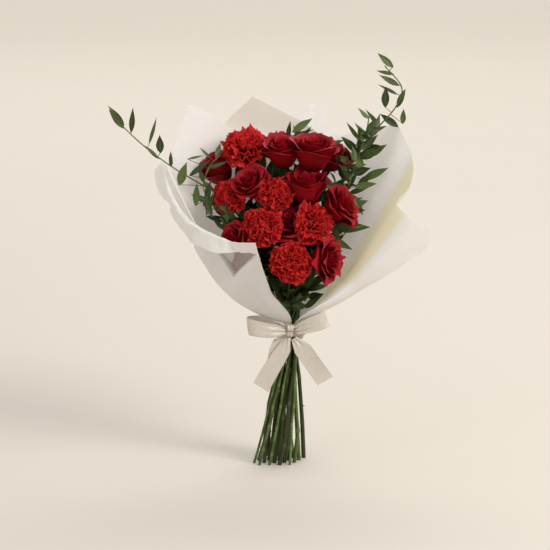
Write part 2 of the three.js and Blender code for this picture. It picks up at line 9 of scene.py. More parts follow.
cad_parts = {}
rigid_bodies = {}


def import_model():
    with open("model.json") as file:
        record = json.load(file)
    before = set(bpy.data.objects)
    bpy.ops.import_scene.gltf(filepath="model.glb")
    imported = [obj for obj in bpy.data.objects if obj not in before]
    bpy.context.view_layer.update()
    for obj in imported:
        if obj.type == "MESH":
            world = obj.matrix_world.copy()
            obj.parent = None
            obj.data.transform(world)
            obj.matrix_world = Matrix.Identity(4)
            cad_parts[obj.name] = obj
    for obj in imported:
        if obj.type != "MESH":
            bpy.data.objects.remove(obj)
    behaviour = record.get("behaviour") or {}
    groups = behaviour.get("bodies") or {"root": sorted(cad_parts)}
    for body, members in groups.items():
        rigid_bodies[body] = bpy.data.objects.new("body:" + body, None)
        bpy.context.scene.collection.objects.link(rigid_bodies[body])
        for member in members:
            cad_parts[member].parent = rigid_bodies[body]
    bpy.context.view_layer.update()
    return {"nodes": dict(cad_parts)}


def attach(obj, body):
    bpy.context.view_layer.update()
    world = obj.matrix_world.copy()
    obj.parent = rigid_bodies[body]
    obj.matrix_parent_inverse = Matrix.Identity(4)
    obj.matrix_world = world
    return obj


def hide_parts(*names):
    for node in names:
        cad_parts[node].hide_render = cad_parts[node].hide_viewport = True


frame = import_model()
mm = 0.001
tie = Vector((17, 0, 198)) * mm  # where the stems cross and the ribbon is tied


# small tools for shapes

def lerp(a, b, t):
    return a + (b - a) * t


def smoothStep(t):
    t = np.clip(t, 0, 1)
    return t * t * (3 - 2 * t)


def facing(turn, lift):  # turn: degrees to the right of straight ahead; lift: degrees above the horizon
    a, e = math.radians(turn), math.radians(lift)
    return Vector((math.sin(a) * math.cos(e), -math.cos(a) * math.cos(e), math.sin(e)))


def standOn(origin, axis, spin):  # moves a shape made round +Z onto a point and a direction
    turn = Vector((0, 0, 1)).rotation_difference(axis) @ Quaternion((0, 0, 1), spin)
    return Matrix.Translation(origin) @ turn.to_matrix().to_4x4()


def newPile():  # the points and faces of one piece while it is being made, with the values its material reads
    return {"points": [], "faces": [], "along": [], "across": [], "own": [], "count": 0, "joint": np.zeros(0)}


def addPoints(pile, points, along, across, own):
    start = pile["count"]
    points = np.asarray(points, float).reshape(-1, 3)
    for key, value in (("along", along), ("across", across), ("own", own)):
        pile[key].append(np.broadcast_to(np.asarray(value, float).reshape(-1), (len(points),)))
    pile["points"].append(points)
    pile["count"] += len(points)
    return start


def addSkin(pile, grid, thickness, own, place=None, taper=0.5):
    # a thin closed sheet over a grid of points, rows by columns
    # along runs with the rows and across with the columns
    rows, columns = grid.shape[:2]
    side = np.cross(np.gradient(grid, axis=1), np.gradient(grid, axis=0))
    side /= np.linalg.norm(side, axis=2, keepdims=True) + 1e-12
    t = np.linspace(0, 1, rows)[:, None] * np.ones(columns)
    s = np.ones(rows)[:, None] * np.linspace(-1, 1, columns)
    half = 0.5 * thickness * (1 - taper * np.maximum(np.abs(s), 2 * np.abs(t - 0.5)) ** 6)[..., None]
    both = np.concatenate([(grid + side * half).reshape(-1, 3), (grid - side * half).reshape(-1, 3)])
    if place is not None:
        both = both @ np.array(place.to_3x3()).T + np.array(place.translation)
    start = addPoints(pile, both, np.tile(t.reshape(-1), 2), np.tile(s.reshape(-1), 2), own)
    index = start + np.arange(rows * columns).reshape(rows, columns)
    a, b, c, d = index[:-1, :-1], index[:-1, 1:], index[1:, 1:], index[1:, :-1]
    low = rows * columns
    pile["faces"].append(np.stack([a, b, c, d], -1).reshape(-1, 4))
    pile["faces"].append(np.stack([a + low, d + low, c + low, b + low], -1).reshape(-1, 4))
    rim = np.concatenate([index[0, :-1], index[:-1, -1], index[-1, :0:-1], index[:0:-1, 0]])
    after = np.roll(rim, -1)
    pile["faces"].append(np.stack([after, rim, rim + low, after + low], -1))


def framesAlong(line):  # a direction and two sides at each point of a line, without twist
    tangents = np.gradient(line, axis=0)
    tangents /= np.linalg.norm(tangents, axis=1, keepdims=True)
    sides = []
    side = Vector((1, 0, 0)).cross(Vector(tangents[0])).normalized()
    for k, tangent in enumerate(tangents):
        if k:
            side = Vector(tangents[k - 1]).rotation_difference(Vector(tangent)) @ side
        sides.append(np.array(side))
    sides = np.array(sides)
    return tangents, sides, np.cross(tangents, sides)


def addTube(pile, line, radii, sides=12, own=0.0, grow=None):
    # a round rod along a line; grow gives the share of the radius at a step along and an angle round
    line = np.asarray(line, float)
    tangents, u, v = framesAlong(line)
    steps = len(line)
    angle = np.linspace(0, 2 * math.pi, sides, endpoint=False)
    radii = np.broadcast_to(radii, (steps,))[:, None] * np.ones(sides)
    if grow is not None:
        radii = radii * grow(np.arange(steps)[:, None] / (steps - 1), angle[None])
    ring = line[:, None] + radii[..., None] * (
        np.cos(angle)[None, :, None] * u[:, None] + np.sin(angle)[None, :, None] * v[:, None])
    along = np.linspace(0, 1, steps)[:, None] * np.ones(sides)
    start = addPoints(pile, ring, along.reshape(-1), np.tile(np.linspace(-1, 1, sides), steps), own)
    index = start + np.arange(steps * sides).reshape(steps, sides)
    turned = np.roll(index, -1, axis=1)
    pile["faces"].append(np.stack([index[:-1], turned[:-1], turned[1:], index[1:]], -1).reshape(-1, 4))
    for end, flip, share in ((0, True, -1.0), (-1, False, 1.0)):
        tip = addPoints(pile, line[end][None], share, 0.0, own)
        fan = np.stack([index[end], turned[end], np.full(sides, tip)], -1)
        pile["faces"].append(fan[:, ::-1] if flip else fan)


def addLathe(pile, profile, place, sides, own):
    # a closed round form: profile is a list of (radius, height) in mm, from one end of its axis to the other
    angle = np.linspace(0, 2 * math.pi, sides, endpoint=False)
    rings = [np.stack([r * np.cos(angle), r * np.sin(angle), np.full(sides, z)], -1) for r, z in profile[1:-1]]
    ends = np.array([[0, 0, profile[0][1]], [0, 0, profile[-1][1]]])
    points = np.concatenate([*rings, ends]) * mm
    points = points @ np.array(place.to_3x3()).T + np.array(place.translation)
    share = np.concatenate([np.repeat(np.linspace(0, 1, len(rings)), sides), [0, 1]])
    start = addPoints(pile, points, share, 0.0, own)
    index = start + np.arange(len(rings) * sides).reshape(len(rings), sides)
    turned = np.roll(index, -1, axis=1)
    pile["faces"].append(np.stack([index[:-1], turned[:-1], turned[1:], index[1:]], -1).reshape(-1, 4))
    low = start + len(rings) * sides
    pile["faces"].append(np.stack([turned[0], index[0], np.full(sides, low)], -1))
    pile["faces"].append(np.stack([index[-1], turned[-1], np.full(sides, low + 1)], -1))


def smoothLine(points, step):  # evenly spaced points on a smooth curve through the given ones
    p = [Vector(q) for q in points]
    p = [p[0] * 2 - p[1], *p, p[-1] * 2 - p[-2]]
    fine = []
    for k in range(1, len(p) - 2):
        a, b, c, d = p[k - 1:k + 3]
        for t in np.linspace(0, 1, 24, endpoint=False):
            cubic = (3 * b - a - 3 * c + d) * t ** 3
            fine.append(0.5 * (2 * b + (c - a) * t + (2 * a - 5 * b + 4 * c - d) * t ** 2 + cubic))
    fine.append(p[-2])
    fine = np.array(fine)
    run = np.concatenate([[0], np.cumsum(np.linalg.norm(np.diff(fine, axis=0), axis=1))])
    want = np.linspace(0, run[-1], max(3, int(run[-1] / step) + 1))
    return np.stack([np.interp(want, run, fine[:, k]) for k in range(3)], -1)


def makePiece(name, pile, material, node):  # a visible piece that stands for a CAD node
    points = np.concatenate(pile["points"])
    mesh = bpy.data.meshes.new(name)
    mesh.from_pydata(points.tolist(), [], [face.tolist() for block in pile["faces"] for face in block])
    values = {key: np.concatenate(pile[key]) for key in ("along", "across", "own")}
    values["joint"] = np.zeros(len(points))
    values["joint"][:len(pile["joint"])] = pile["joint"]
    for key, value in values.items():
        mesh.attributes.new(key, "FLOAT", "POINT").data.foreach_set("value", value.astype(np.float32))
    mesh.polygons.foreach_set("use_smooth", np.ones(len(mesh.polygons), bool))
    mesh.set_sharp_from_angle(angle=math.radians(62))
    mesh.materials.append(material)
    mesh.update()
    piece = bpy.data.objects.new(name, mesh)
    bpy.context.scene.collection.objects.link(piece)
    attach(piece, "root")
    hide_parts(node)
    return piece


# materials

def colour(text):  # sRGB hex to linear
    parts = [int(text[i:i + 2], 16) / 255 for i in (1, 3, 5)]
    return (*[c / 12.92 if c <= 0.04045 else ((c + 0.055) / 1.055) ** 2.4 for c in parts], 1.0)


def add(material, kind, inputs=(), stops=(), **settings):  # adds a shader node, sets it and links its inputs
    tree = material.node_tree
    made = tree.nodes.new("ShaderNode" + kind)
    for key, value in settings.items():
        setattr(made, key, value)
    for k, (position, text) in enumerate(stops):  # the colours of a ramp
        if k >= len(made.color_ramp.elements):
            made.color_ramp.elements.new(position)
        made.color_ramp.elements[k].position = position
        made.color_ramp.elements[k].color = colour(text)
    for key, value in dict(inputs).items():
        if isinstance(value, bpy.types.Node):
            value = next(socket for socket in value.outputs if socket.enabled)
        if isinstance(value, bpy.types.NodeSocket):
            tree.links.new(value, made.inputs[key])
        else:
            made.inputs[key].default_value = value
    return made


rgb = {"data_type": "RGBA"}  # a mix of colours: input 0 is the share, 6 and 7 the colours
times = {"operation": "MULTIPLY"}


def shine(material, shader, share=0.0, tint=None):
    # ends a material; petals, leaves, paper and satin are thin enough for light from behind to come through
    if share:
        behind = add(material, "BsdfTranslucent", {"Color": tint})
        shader = add(material, "MixShader", {0: share, 1: shader, 2: behind})
    add(material, "OutputMaterial", {"Surface": shader})
    return material


def newMaterial(name, *values):  # an empty material, its coordinates, and the values that its pieces carry
    material = bpy.data.materials.new(name)
    material.use_nodes = True
    material.node_tree.nodes.clear()
    where = add(material, "TexCoord").outputs["Object"]
    return material, where, *[add(material, "Attribute", attribute_name=value) for value in values]


petalLooks = {
    # fresh carnation petal, thin and matt, with hair-fine ribs fanning to the rim;
    # its depth ramp paints shade deep in the folds and a highlight at the frill
    "freshCarnationPetal": {
        "depth": [(0.0, "#3a0103"), (0.5, "#86060b"), (0.82, "#c60f17"), (1.0, "#ea3a37")],
        "blotch": "#a80d13", "blotchSize": 9 * mm, "blotchShare": 0.35, "light": "#ea322d", "lightShare": 0.34,
        "ribs": 5.0, "ribSway": 1.5, "ribDetail": 1.0, "ribDepth": 0.25 * mm, "ribStrength": 0.5,
        "roughness": 0.62, "sheen": 0.08, "sheenRoughness": 0.5, "sheenTint": "#ff6a5a", "through": 0.24},
    # rose petal, a skin of tiny cones: velvety, with painted shade making it nearly black in the cup, a painted
    # highlight at the rim and a soft crimson sheen outside
    "velvetRosePetal": {
        "depth": [(0.0, "#300105"), (0.4, "#7c040c"), (0.85, "#9e0714"), (1.0, "#b3152a")],
        "blotch": "#5a0309", "blotchSize": 16 * mm, "blotchShare": 0.45, "light": "#c01024", "lightShare": 0.35,
        "ribs": 7.0, "ribSway": 2.0, "ribDetail": 2.0, "ribDepth": 0.1 * mm, "ribStrength": 0.2,
        "roughness": 0.5, "sheen": 0.14, "sheenRoughness": 0.4, "sheenTint": "#d02038", "through": 0.2},
}


def petalMaterial(name):
    look = petalLooks[name]
    m, where, along, across, own = newMaterial(name, "along", "across", "own")
    # the depth ramp along each petal is painted shade at its foot and a painted highlight at its rim
    tone = add(m, "ValToRGB", {0: along}, stops=look["depth"])
    blotch = add(m, "TexNoise", {"Vector": where, "Scale": 1 / look["blotchSize"], "Detail": 2.0})
    blotch = add(m, "Math", {0: blotch, 1: look["blotchShare"]}, **times)
    tone = add(m, "Mix", {0: blotch, 6: tone, 7: colour(look["blotch"])}, **rgb)
    each = add(m, "Math", {0: own, 1: look["lightShare"]}, **times)
    tone = add(m, "Mix", {0: each, 6: tone, 7: colour(look["light"])}, **rgb)
    ribs = add(m, "TexWave", {"Vector": add(m, "CombineXYZ", {"X": across}), "Scale": look["ribs"],
                              "Distortion": look["ribSway"], "Detail": look["ribDetail"]})
    relief = add(m, "Bump", {"Height": ribs, "Distance": look["ribDepth"], "Strength": look["ribStrength"]})
    skin = add(m, "BsdfPrincipled", {
        "Base Color": tone, "Normal": relief, "Roughness": look["roughness"], "IOR": 1.42,
        "Specular IOR Level": 0.3, "Sheen Weight": look["sheen"], "Sheen Roughness": look["sheenRoughness"],
        "Sheen Tint": colour(look["sheenTint"])})
    return shine(m, skin, look["through"], tone)


def stemMaterial(name, low, high, spot, roughness):
    # cut flower stem: a waxy green skin, streaked along its length and scarred at the joints,
    # and a pale wet cut end
    m, where, along, own, joint = newMaterial(name, "along", "own", "joint")
    alongIt = add(m, "Mapping", {"Vector": where, "Scale": (1, 1, 0.08)})
    streak = add(m, "TexNoise", {"Vector": alongIt, "Scale": 1 / (3 * mm), "Detail": 3.0, "Roughness": 0.55})
    faint = add(m, "Math", {0: streak, 1: 0.3}, **times)
    shade = add(m, "Math", {0: own, 1: 0.75, 2: faint}, operation="MULTIPLY_ADD")
    skin = add(m, "Mix", {0: shade, 6: colour(low), 7: colour(high)}, **rgb)
    blotch = add(m, "TexNoise", {"Vector": where, "Scale": 1 / (22 * mm), "Detail": 2.0})
    patch = add(m, "ValToRGB", {0: blotch}, stops=[(0.45, "#000000"), (0.72, "#ffffff")])
    skin = add(m, "Mix", {0: add(m, "Math", {0: patch, 1: 0.7}, **times), 6: skin, 7: colour(spot)}, **rgb)
    scar = add(m, "Math", {0: joint, 1: 0.5}, **times)
    skin = add(m, "Mix", {0: scar, 6: skin, 7: colour("#8f9150")}, **rgb)
    end = add(m, "Math", {0: along, 1: -0.02}, operation="LESS_THAN")
    skin = add(m, "Mix", {0: end, 6: skin, 7: colour("#c9c894")}, **rgb)
    relief = add(m, "Bump", {"Height": streak, "Distance": 0.3 * mm, "Strength": 0.5})
    return shine(m, add(m, "BsdfPrincipled", {
        "Base Color": skin, "Normal": relief, "Roughness": roughness, "IOR": 1.45, "Specular IOR Level": 0.5,
        "Subsurface Weight": 0.05, "Subsurface Radius": (0.001, 0.0015, 0.0004), "Subsurface Scale": 1.0}))


def leafMaterial(name, dark, light, rib, veins, roughness, wax):
    # leathery leaf blade: a waxed upper face that catches the light, with a paler midrib and fine veins
    m, where, along, across, own = newMaterial(name, "along", "across", "own")
    cloud = add(m, "TexNoise", {"Vector": where, "Scale": 1 / (16 * mm), "Detail": 2.0})
    faint = add(m, "Math", {0: cloud, 1: 0.25}, **times)
    shade = add(m, "Math", {0: own, 1: 0.8, 2: faint}, operation="MULTIPLY_ADD")
    tone = add(m, "Mix", {0: shade, 6: colour(dark), 7: colour(light)}, **rgb)
    offRib = add(m, "Math", {0: across}, operation="ABSOLUTE")
    onRib = add(m, "Math", {0: offRib, 1: 0.07}, operation="LESS_THAN")
    tone = add(m, "Mix", {0: add(m, "Math", {0: onRib, 1: 0.5}, **times), 6: tone, 7: colour(rib)}, **rgb)
    up = add(m, "Math", {0: along, 1: veins}, **times)
    fan = add(m, "CombineXYZ", {"X": across, "Y": up})
    lines = add(m, "TexWave", {"Vector": fan, "Scale": 3.2, "Distortion": 0.4},
                bands_direction="DIAGONAL" if veins else "X")
    relief = add(m, "Bump", {"Height": lines, "Distance": 0.15 * mm, "Strength": 0.6})
    blade = add(m, "BsdfPrincipled", {
        "Base Color": tone, "Normal": relief, "Roughness": roughness, "IOR": 1.46,
        "Specular IOR Level": 0.5, "Coat Weight": wax, "Coat Roughness": 0.3})
    return shine(m, blade, 0.2, add(m, "Mix", {0: 0.6, 6: tone, 7: colour("#a8b83c")}, **rgb))


def paperMaterial(name, light, dark, lining, through):
    # calendered bouquet paper, faintly translucent: a soft even white with fine fibres and handling creases
    m, where, own = newMaterial(name, "own")
    fibre = add(m, "TexNoise", {"Vector": where, "Scale": 1 / (0.9 * mm), "Detail": 4.0, "Roughness": 0.55})
    cloud = add(m, "TexNoise", {"Vector": where, "Scale": 1 / (60 * mm), "Detail": 2.0})
    cloud = add(m, "Math", {0: cloud, 1: 0.5}, **times)
    tone = add(m, "Mix", {0: cloud, 6: colour(light), 7: colour(dark)}, **rgb)
    # where a piece sets its own value, the tone turns to a painted colour: painted shade in the tuck, and
    # painted shade with a cream tint on the inner face of the right sheet's fold
    tone = add(m, "Mix", {0: own, 6: tone, 7: colour(lining)}, **rgb)
    cells = add(m, "TexVoronoi", {"Vector": where, "Scale": 1 / (42 * mm), "Randomness": 1.0},
                feature="DISTANCE_TO_EDGE")
    crease = add(m, "ValToRGB", {0: cells}, stops=[(0.0, "#000000"), (0.06, "#ffffff")])
    crease = add(m, "Math", {0: crease, 1: 0.3}, **times)
    height = add(m, "Math", {0: fibre, 1: 0.25, 2: crease}, operation="MULTIPLY_ADD")
    relief = add(m, "Bump", {"Height": height, "Distance": 0.3 * mm, "Strength": 0.35})
    sheet = add(m, "BsdfPrincipled", {"Base Color": tone, "Normal": relief, "Roughness": 0.72, "IOR": 1.5,
                                      "Specular IOR Level": 0.3})
    return shine(m, sheet, through, tone)


def satinMaterial():
    # woven polyester satin: long floats along the ribbon give a soft gloss that breaks at each fold
    m, where, across = newMaterial("wovenSatinRibbon", "across")
    fan = add(m, "CombineXYZ", {"X": across})
    threads = add(m, "TexWave", {"Vector": fan, "Scale": 14.0, "Distortion": 0.2})  # drawn coarse, to show
    cloud = add(m, "TexNoise", {"Vector": where, "Scale": 1 / (7 * mm), "Detail": 3.0})
    cloud = add(m, "Math", {0: cloud, 1: 0.5}, **times)
    tone = add(m, "Mix", {0: cloud, 6: colour("#e3dbd0"), 7: colour("#c0b4a4")}, **rgb)
    offMiddle = add(m, "Math", {0: across}, operation="ABSOLUTE")
    edge = add(m, "Math", {0: offMiddle, 1: 0.93}, operation="GREATER_THAN")
    edge = add(m, "Math", {0: edge, 1: 0.35}, **times)
    tone = add(m, "Mix", {0: edge, 6: tone, 7: colour("#b3a692")}, **rgb)
    relief = add(m, "Bump", {"Height": threads, "Distance": 0.08 * mm, "Strength": 0.3})
    cloth = add(m, "BsdfPrincipled", {"Base Color": tone, "Normal": relief, "Roughness": 0.2, "IOR": 1.5,
                                      "Specular IOR Level": 0.9, "Sheen Weight": 0.2, "Sheen Roughness": 0.3,
                                      "Anisotropic": 0.4})
    return shine(m, cloth, 0.15, tone)


def twineMaterial():
    # spun jute twine: dull, hairy and pale brown
    m, where = newMaterial("spunJuteTwine")
    strands = add(m, "TexWave", {"Vector": where, "Scale": 1 / (4 * mm), "Distortion": 3.0},
                  bands_direction="DIAGONAL")
    hairs = add(m, "TexNoise", {"Vector": where, "Scale": 1 / (2 * mm), "Detail": 3.0})
    tone = add(m, "Mix", {0: hairs, 6: colour("#b59d74"), 7: colour("#8a744d")}, **rgb)
    relief = add(m, "Bump", {"Height": strands, "Distance": 0.4 * mm, "Strength": 0.8})
    cord = add(m, "BsdfPrincipled", {"Base Color": tone, "Normal": relief, "Roughness": 0.9, "IOR": 1.5})
    return shine(m, cord)


def boardMaterial(tint, cloudTint):
    # matt painted board of a studio sweep, with no shine of its own
    m, where = newMaterial("mattPaintedBoard")
    cloud = add(m, "Math", {0: add(m, "TexNoise", {"Vector": where, "Scale": 2.5}), 1: 0.2}, **times)
    tone = add(m, "Mix", {0: cloud, 6: colour(tint), 7: colour(cloudTint)}, **rgb)
    return shine(m, add(m, "BsdfPrincipled", {"Base Color": tone, "Roughness": 0.8}))


carnationPetal = petalMaterial("freshCarnationPetal")
rosePetal = petalMaterial("velvetRosePetal")
stemSkin = {
    "carnation": stemMaterial("waxyCarnationStem", "#101807", "#56692a", spot="#4f5d29", roughness=0.4),
    "rose": stemMaterial("smoothRoseStem", "#0f1606", "#42541a", spot="#32260f", roughness=0.32),
    "ruscus": stemMaterial("wiryRuscusStem", "#2c4214", "#56702c", spot="#6f8740", roughness=0.42),
}
ruscusLeaf = leafMaterial("leatheryRuscusLeaf", dark="#1a2b0e", light="#5f7630", rib="#7c8c52", veins=0.0,
                          roughness=0.33, wax=0.25)
roseLeaf = leafMaterial("serratedRoseLeaf", dark="#12210a", light="#2f421b", rib="#64744a", veins=5.0,
                        roughness=0.42, wax=0.12)
# lining: the colour of painted shade where a sheet carries it; on the right sheet, a cream tint of light through
# the paper
outerPaper = paperMaterial("calenderedWrapPaper", "#fbfaf9", "#f6f4f0", lining="#f6f2da", through=0.6)
# grey-pink painted shade for the tuck of the front left sheet, tinged by the red flowers
paperWithPaintedTuckShade = paperMaterial("tuckedWrapPaper", "#fbfaf9", "#f6f4f0", lining="#c6b9b5", through=0.5)
# a slightly greyer copy of the wrap paper, for the back middle sheet
backPaper = paperMaterial("greyerWrapPaper", "#f2eee9", "#ece7df", lining="#ece7df", through=0.6)
satin = satinMaterial()
print("materials ready")


# the plan of the bunch, in millimetres and degrees; each head has its CAD place

carnations = {
    "carnation_1": {"at": (-48, 22, 457), "turn": -20, "lift": 52, "radius": 33},
    "carnation_2": {"at": (3, 52, 452), "turn": 0, "lift": 62, "radius": 26},
    "carnation_3": {"at": (-72, -14, 391), "turn": -30, "lift": 22, "radius": 25},
    "carnation_4": {"at": (-5, -34, 400), "turn": 8, "lift": 38, "radius": 26},
    "carnation_5": {"at": (-24, -56, 356), "turn": -12, "lift": 26, "radius": 28},
    "carnation_6": {"at": (49, -50, 358), "turn": 24, "lift": 26, "radius": 29},
    "carnation_7": {"at": (17, -72, 308), "turn": 4, "lift": 12, "radius": 29},
}
roses = {
    # opening: how far its outer petals have opened; reach: how loosely they hang, over the radius;
    # leaves: share of the way up the stem, turn, lift and length; leafTips: start, end, width over length
    "rose_1": {"at": (6, 6, 444), "turn": -10, "lift": 76, "radius": 24, "opening": 0.5, "reach": 1.34,
               "leaves": [(0.93, -20, 20, 42), (0.9, 30, 0, 40), (0.95, -40, -12, 36), (0.95, 15, -18, 38),
                          (0.93, 62, 2, 38), (0.93, -80, 4, 38), (0.91, 0, -34, 34)],
               "leafTips": [((-12, 6, 402), (-7, 0, 449), 0.5), ((12, 4, 405), (4, -2, 442), 0.5),
                            ((-32, 12, 414), (-22, 6, 456), 0.46), ((22, 4, 410), (32, -2, 441), 0.5),
                            ((-50, 12, 402), (-60, 6, 441), 0.5)]},
    "rose_2": {"at": (48, 0, 441), "turn": 22, "lift": 78, "radius": 26, "opening": 0.5, "reach": 1.42,
               "leaves": [(0.91, -10, 5, 42), (0.93, 60, 25, 36)]},
    "rose_3": {"at": (76, 34, 434), "turn": 60, "lift": 58, "radius": 22, "opening": 0.6, "reach": 1.2,
               "leaves": [(0.9, 80, 15, 40)]},
    "rose_4": {"at": (-84, 34, 416), "turn": -60, "lift": 58, "radius": 24, "opening": 0.55, "reach": 1.26,
               "leaves": [(0.88, -85, 30, 42)]},
    "rose_5": {"at": (-37, -18, 405), "turn": -35, "lift": 52, "radius": 22, "opening": 0.62, "reach": 1.25,
               "leaves": [(0.9, -50, 60, 40)]},
    "rose_6": {"at": (39, -20, 397), "turn": 15, "lift": 80, "radius": 25, "opening": 0.5, "reach": 1.36,
               "leaves": [(0.9, 40, 10, 34)]},
    "rose_7": {"at": (82, -22, 374), "turn": 65, "lift": 34, "radius": 23, "opening": 0.7, "reach": 1.25,
               "point": 0.12, "leaves": [(0.84, 85, 5, 46), (0.78, 70, -8, 44)]},
    "rose_8": {"at": (62, -54, 309), "turn": 62, "lift": 4, "radius": 23, "opening": 0.85, "reach": 1.22,
               "point": 0.18, "leaves": [(0.76, 66, 24, 46), (0.71, 60, 8, 34)]},
    "rose_9": {"at": (-55, -42, 329), "turn": -50, "lift": 26, "radius": 21, "opening": 0.6, "reach": 1.3,
               "leaves": [(0.8, -60, 64, 46)]},
    "rose_10": {"at": (14, -26, 345), "turn": 0, "lift": 56, "radius": 19, "opening": 0.8, "reach": 1.55,
                "leaves": [(0.82, 0, 20, 30)]},
}
sprigs = {
    # route: from above the tie to the tip; leaves stand along it from first to last, as shares of its length,
    # rising: how much they turn upwards; shoots: leaves on side shoots, shootsReach: how far out those start
    "ruscus_sprig_1": {
        "route": [(-22, 18, 300), (-74, 10, 380), (-112, 4, 406), (-150, 0, 430), (-190, 0, 460),
                  (-224, 0, 492)],
        "first": 0.5, "last": 0.72, "leaves": 8, "length": 36, "rising": 0.7,
        "shoots": 14, "shootsFrom": (0.46, 0.66),
        "leafTips": [((-219, 0, 486), (-240, -4, 514), 0.3), ((-219, 2, 491), (-241, 4, 518), 0.25),
                     ((-209, 0, 480), (-205, -4, 517), 0.24), ((-184, 0, 463), (-172, 2, 502), 0.13),
                     ((-168, -2, 451), (-168, -4, 478), 0.44), ((-170, 2, 442), (-190, 0, 462), 0.2),
                     ((-153, 0, 431), (-153, -2, 454), 0.3)]},
    "ruscus_sprig_2": {
        "route": [(-28, 4, 296), (-82, -12, 364), (-106, -12, 398), (-100, -8, 430), (-84, -2, 448)],
        "first": 0.54, "leaves": 14, "length": 34, "shoots": 62, "shootsReach": 22,
        "leafTips": [((-142, -8, 406), (-129, -12, 440), 0.4), ((-130, -6, 443), (-106, -10, 449), 0.14),
                     ((-127, -10, 420), (-96, -14, 443), 0.24), ((-97, -8, 445), (-112, -6, 460), 0.2),
                     ((-118, -14, 377), (-115, -16, 412), 0.3), ((-107, -12, 376), (-95, -14, 406), 0.3),
                     ((-103, -14, 364), (-91, -16, 399), 0.26)]},
    "ruscus_sprig_3": {
        "route": [(44, 24, 300), (86, 26, 400), (112, 26, 446), (138, 28, 480), (166, 32, 512), (174, 34, 540),
                  (150, 38, 570)],
        "first": 0.5, "last": 0.76, "leaves": 16, "length": 36, "shoots": 40,
        "leafTips": [((162, 36, 568), (140, 38, 588), 0.34), ((163, 36, 558), (138, 36, 563), 0.24),
                     ((171, 35, 542), (142, 36, 557), 0.27), ((169, 35, 529), (140, 34, 544), 0.16),
                     ((151, 32, 511), (152, 32, 541), 0.4), ((168, 34, 511), (180, 32, 538), 0.34),
                     ((176, 34, 487), (178, 34, 509), 0.4), ((170, 33, 483), (143, 34, 502), 0.32),
                     ((144, 30, 483), (123, 30, 509), 0.2), ((115, 28, 464), (96, 28, 491), 0.2),
                     ((128, 28, 467), (107, 28, 490), 0.22), ((130, 28, 467), (135, 28, 491), 0.3),
                     ((109, 24, 458), (140, 24, 457), 0.27)]},
    "ruscus_sprig_4": {
        "route": [(50, 10, 300), (88, 2, 376), (102, 0, 414), (114, 6, 450), (124, 10, 482), (128, 12, 506)],
        "first": 0.5, "leaves": 18, "length": 36, "shoots": 56, "shootsReach": 16,
        "leafTips": [((119, 20, 409), (156, 14, 427), 0.3), ((99, 10, 391), (127, 6, 400), 0.3),
                     ((91, 20, 466), (66, 16, 458), 0.22), ((113, 24, 447), (88, 24, 471), 0.3),
                     ((104, -4, 392), (119, -8, 363), 0.38)]},
    "ruscus_sprig_5": {
        "route": [(56, -8, 290), (84, -20, 326), (98, -34, 346), (120, -40, 354)],
        "first": 0.66, "last": 0.85, "leaves": 4, "length": 40,
        "shoots": 12, "shootsFrom": (0.6, 0.8), "shootsReach": 14,
        "leafTips": [((78, -22, 347), (129, -34, 350), 0.3), ((72, -24, 333), (104, -34, 318), 0.3)]},
    "ruscus_sprig_6": {
        "route": [(22, 50, 310), (32, 62, 390), (33, 66, 440), (30, 60, 474)],
        "first": 0.78, "leaves": 9, "length": 36, "shoots": 34, "shootsFrom": (0.6, 0.84), "shootsReach": 46,
        "leafTips": [((19, 60, 471), (48, 58, 491), 0.36), ((12, 60, 462), (17, 60, 488), 0.3),
                     ((20, 60, 466), (49, 56, 475), 0.2)]},
}
headHeight = {"carnation": 1.0, "rose": 1.36}  # height of a head over its radius


def mouthOf(kind, plan):  # where the petals leave the green cup, and the way the head faces
    axis = facing(plan["turn"], plan["lift"])
    return Vector(plan["at"]) * mm - axis * (0.5 * headHeight[kind] * plan["radius"] * mm), axis


carnationHead = {
    # tilt of a petal at its claw and rim, its length and half its width over the head's radius, and how many
    "whorls": [(50, 108, 1.08, 0.60, 7), (42, 92, 1.12, 0.58, 7), (32, 74, 1.12, 0.56, 7),
               (22, 56, 1.10, 0.52, 6), (13, 38, 1.08, 0.46, 5), (6, 20, 1.04, 0.42, 4), (0, 4, 1.0, 0.36, 3)],
    "ruffle": 0.135, "teeth": 15, "toothDepth": 0.045, "thickness": 0.35 * mm, "columns": 43, "rows": 14,
}


def petalSurface(t, s, length, stops, tilts, roll, foot):
    # a blade whose tilt from the flower's axis changes along it, and whose sides roll back
    # t already has its outline
    tilt = np.radians(np.interp(t, stops, tilts) + roll * np.abs(s) ** 3 * t ** 2)
    step = np.diff(t, axis=0) * length
    middle = (tilt[1:] + tilt[:-1]) / 2
    zero = np.zeros((1, t.shape[1]))
    reach = foot + np.concatenate([zero, np.cumsum(np.sin(middle) * step, axis=0)])
    height = np.concatenate([zero, np.cumsum(np.cos(middle) * step, axis=0)])
    return tilt, reach, height


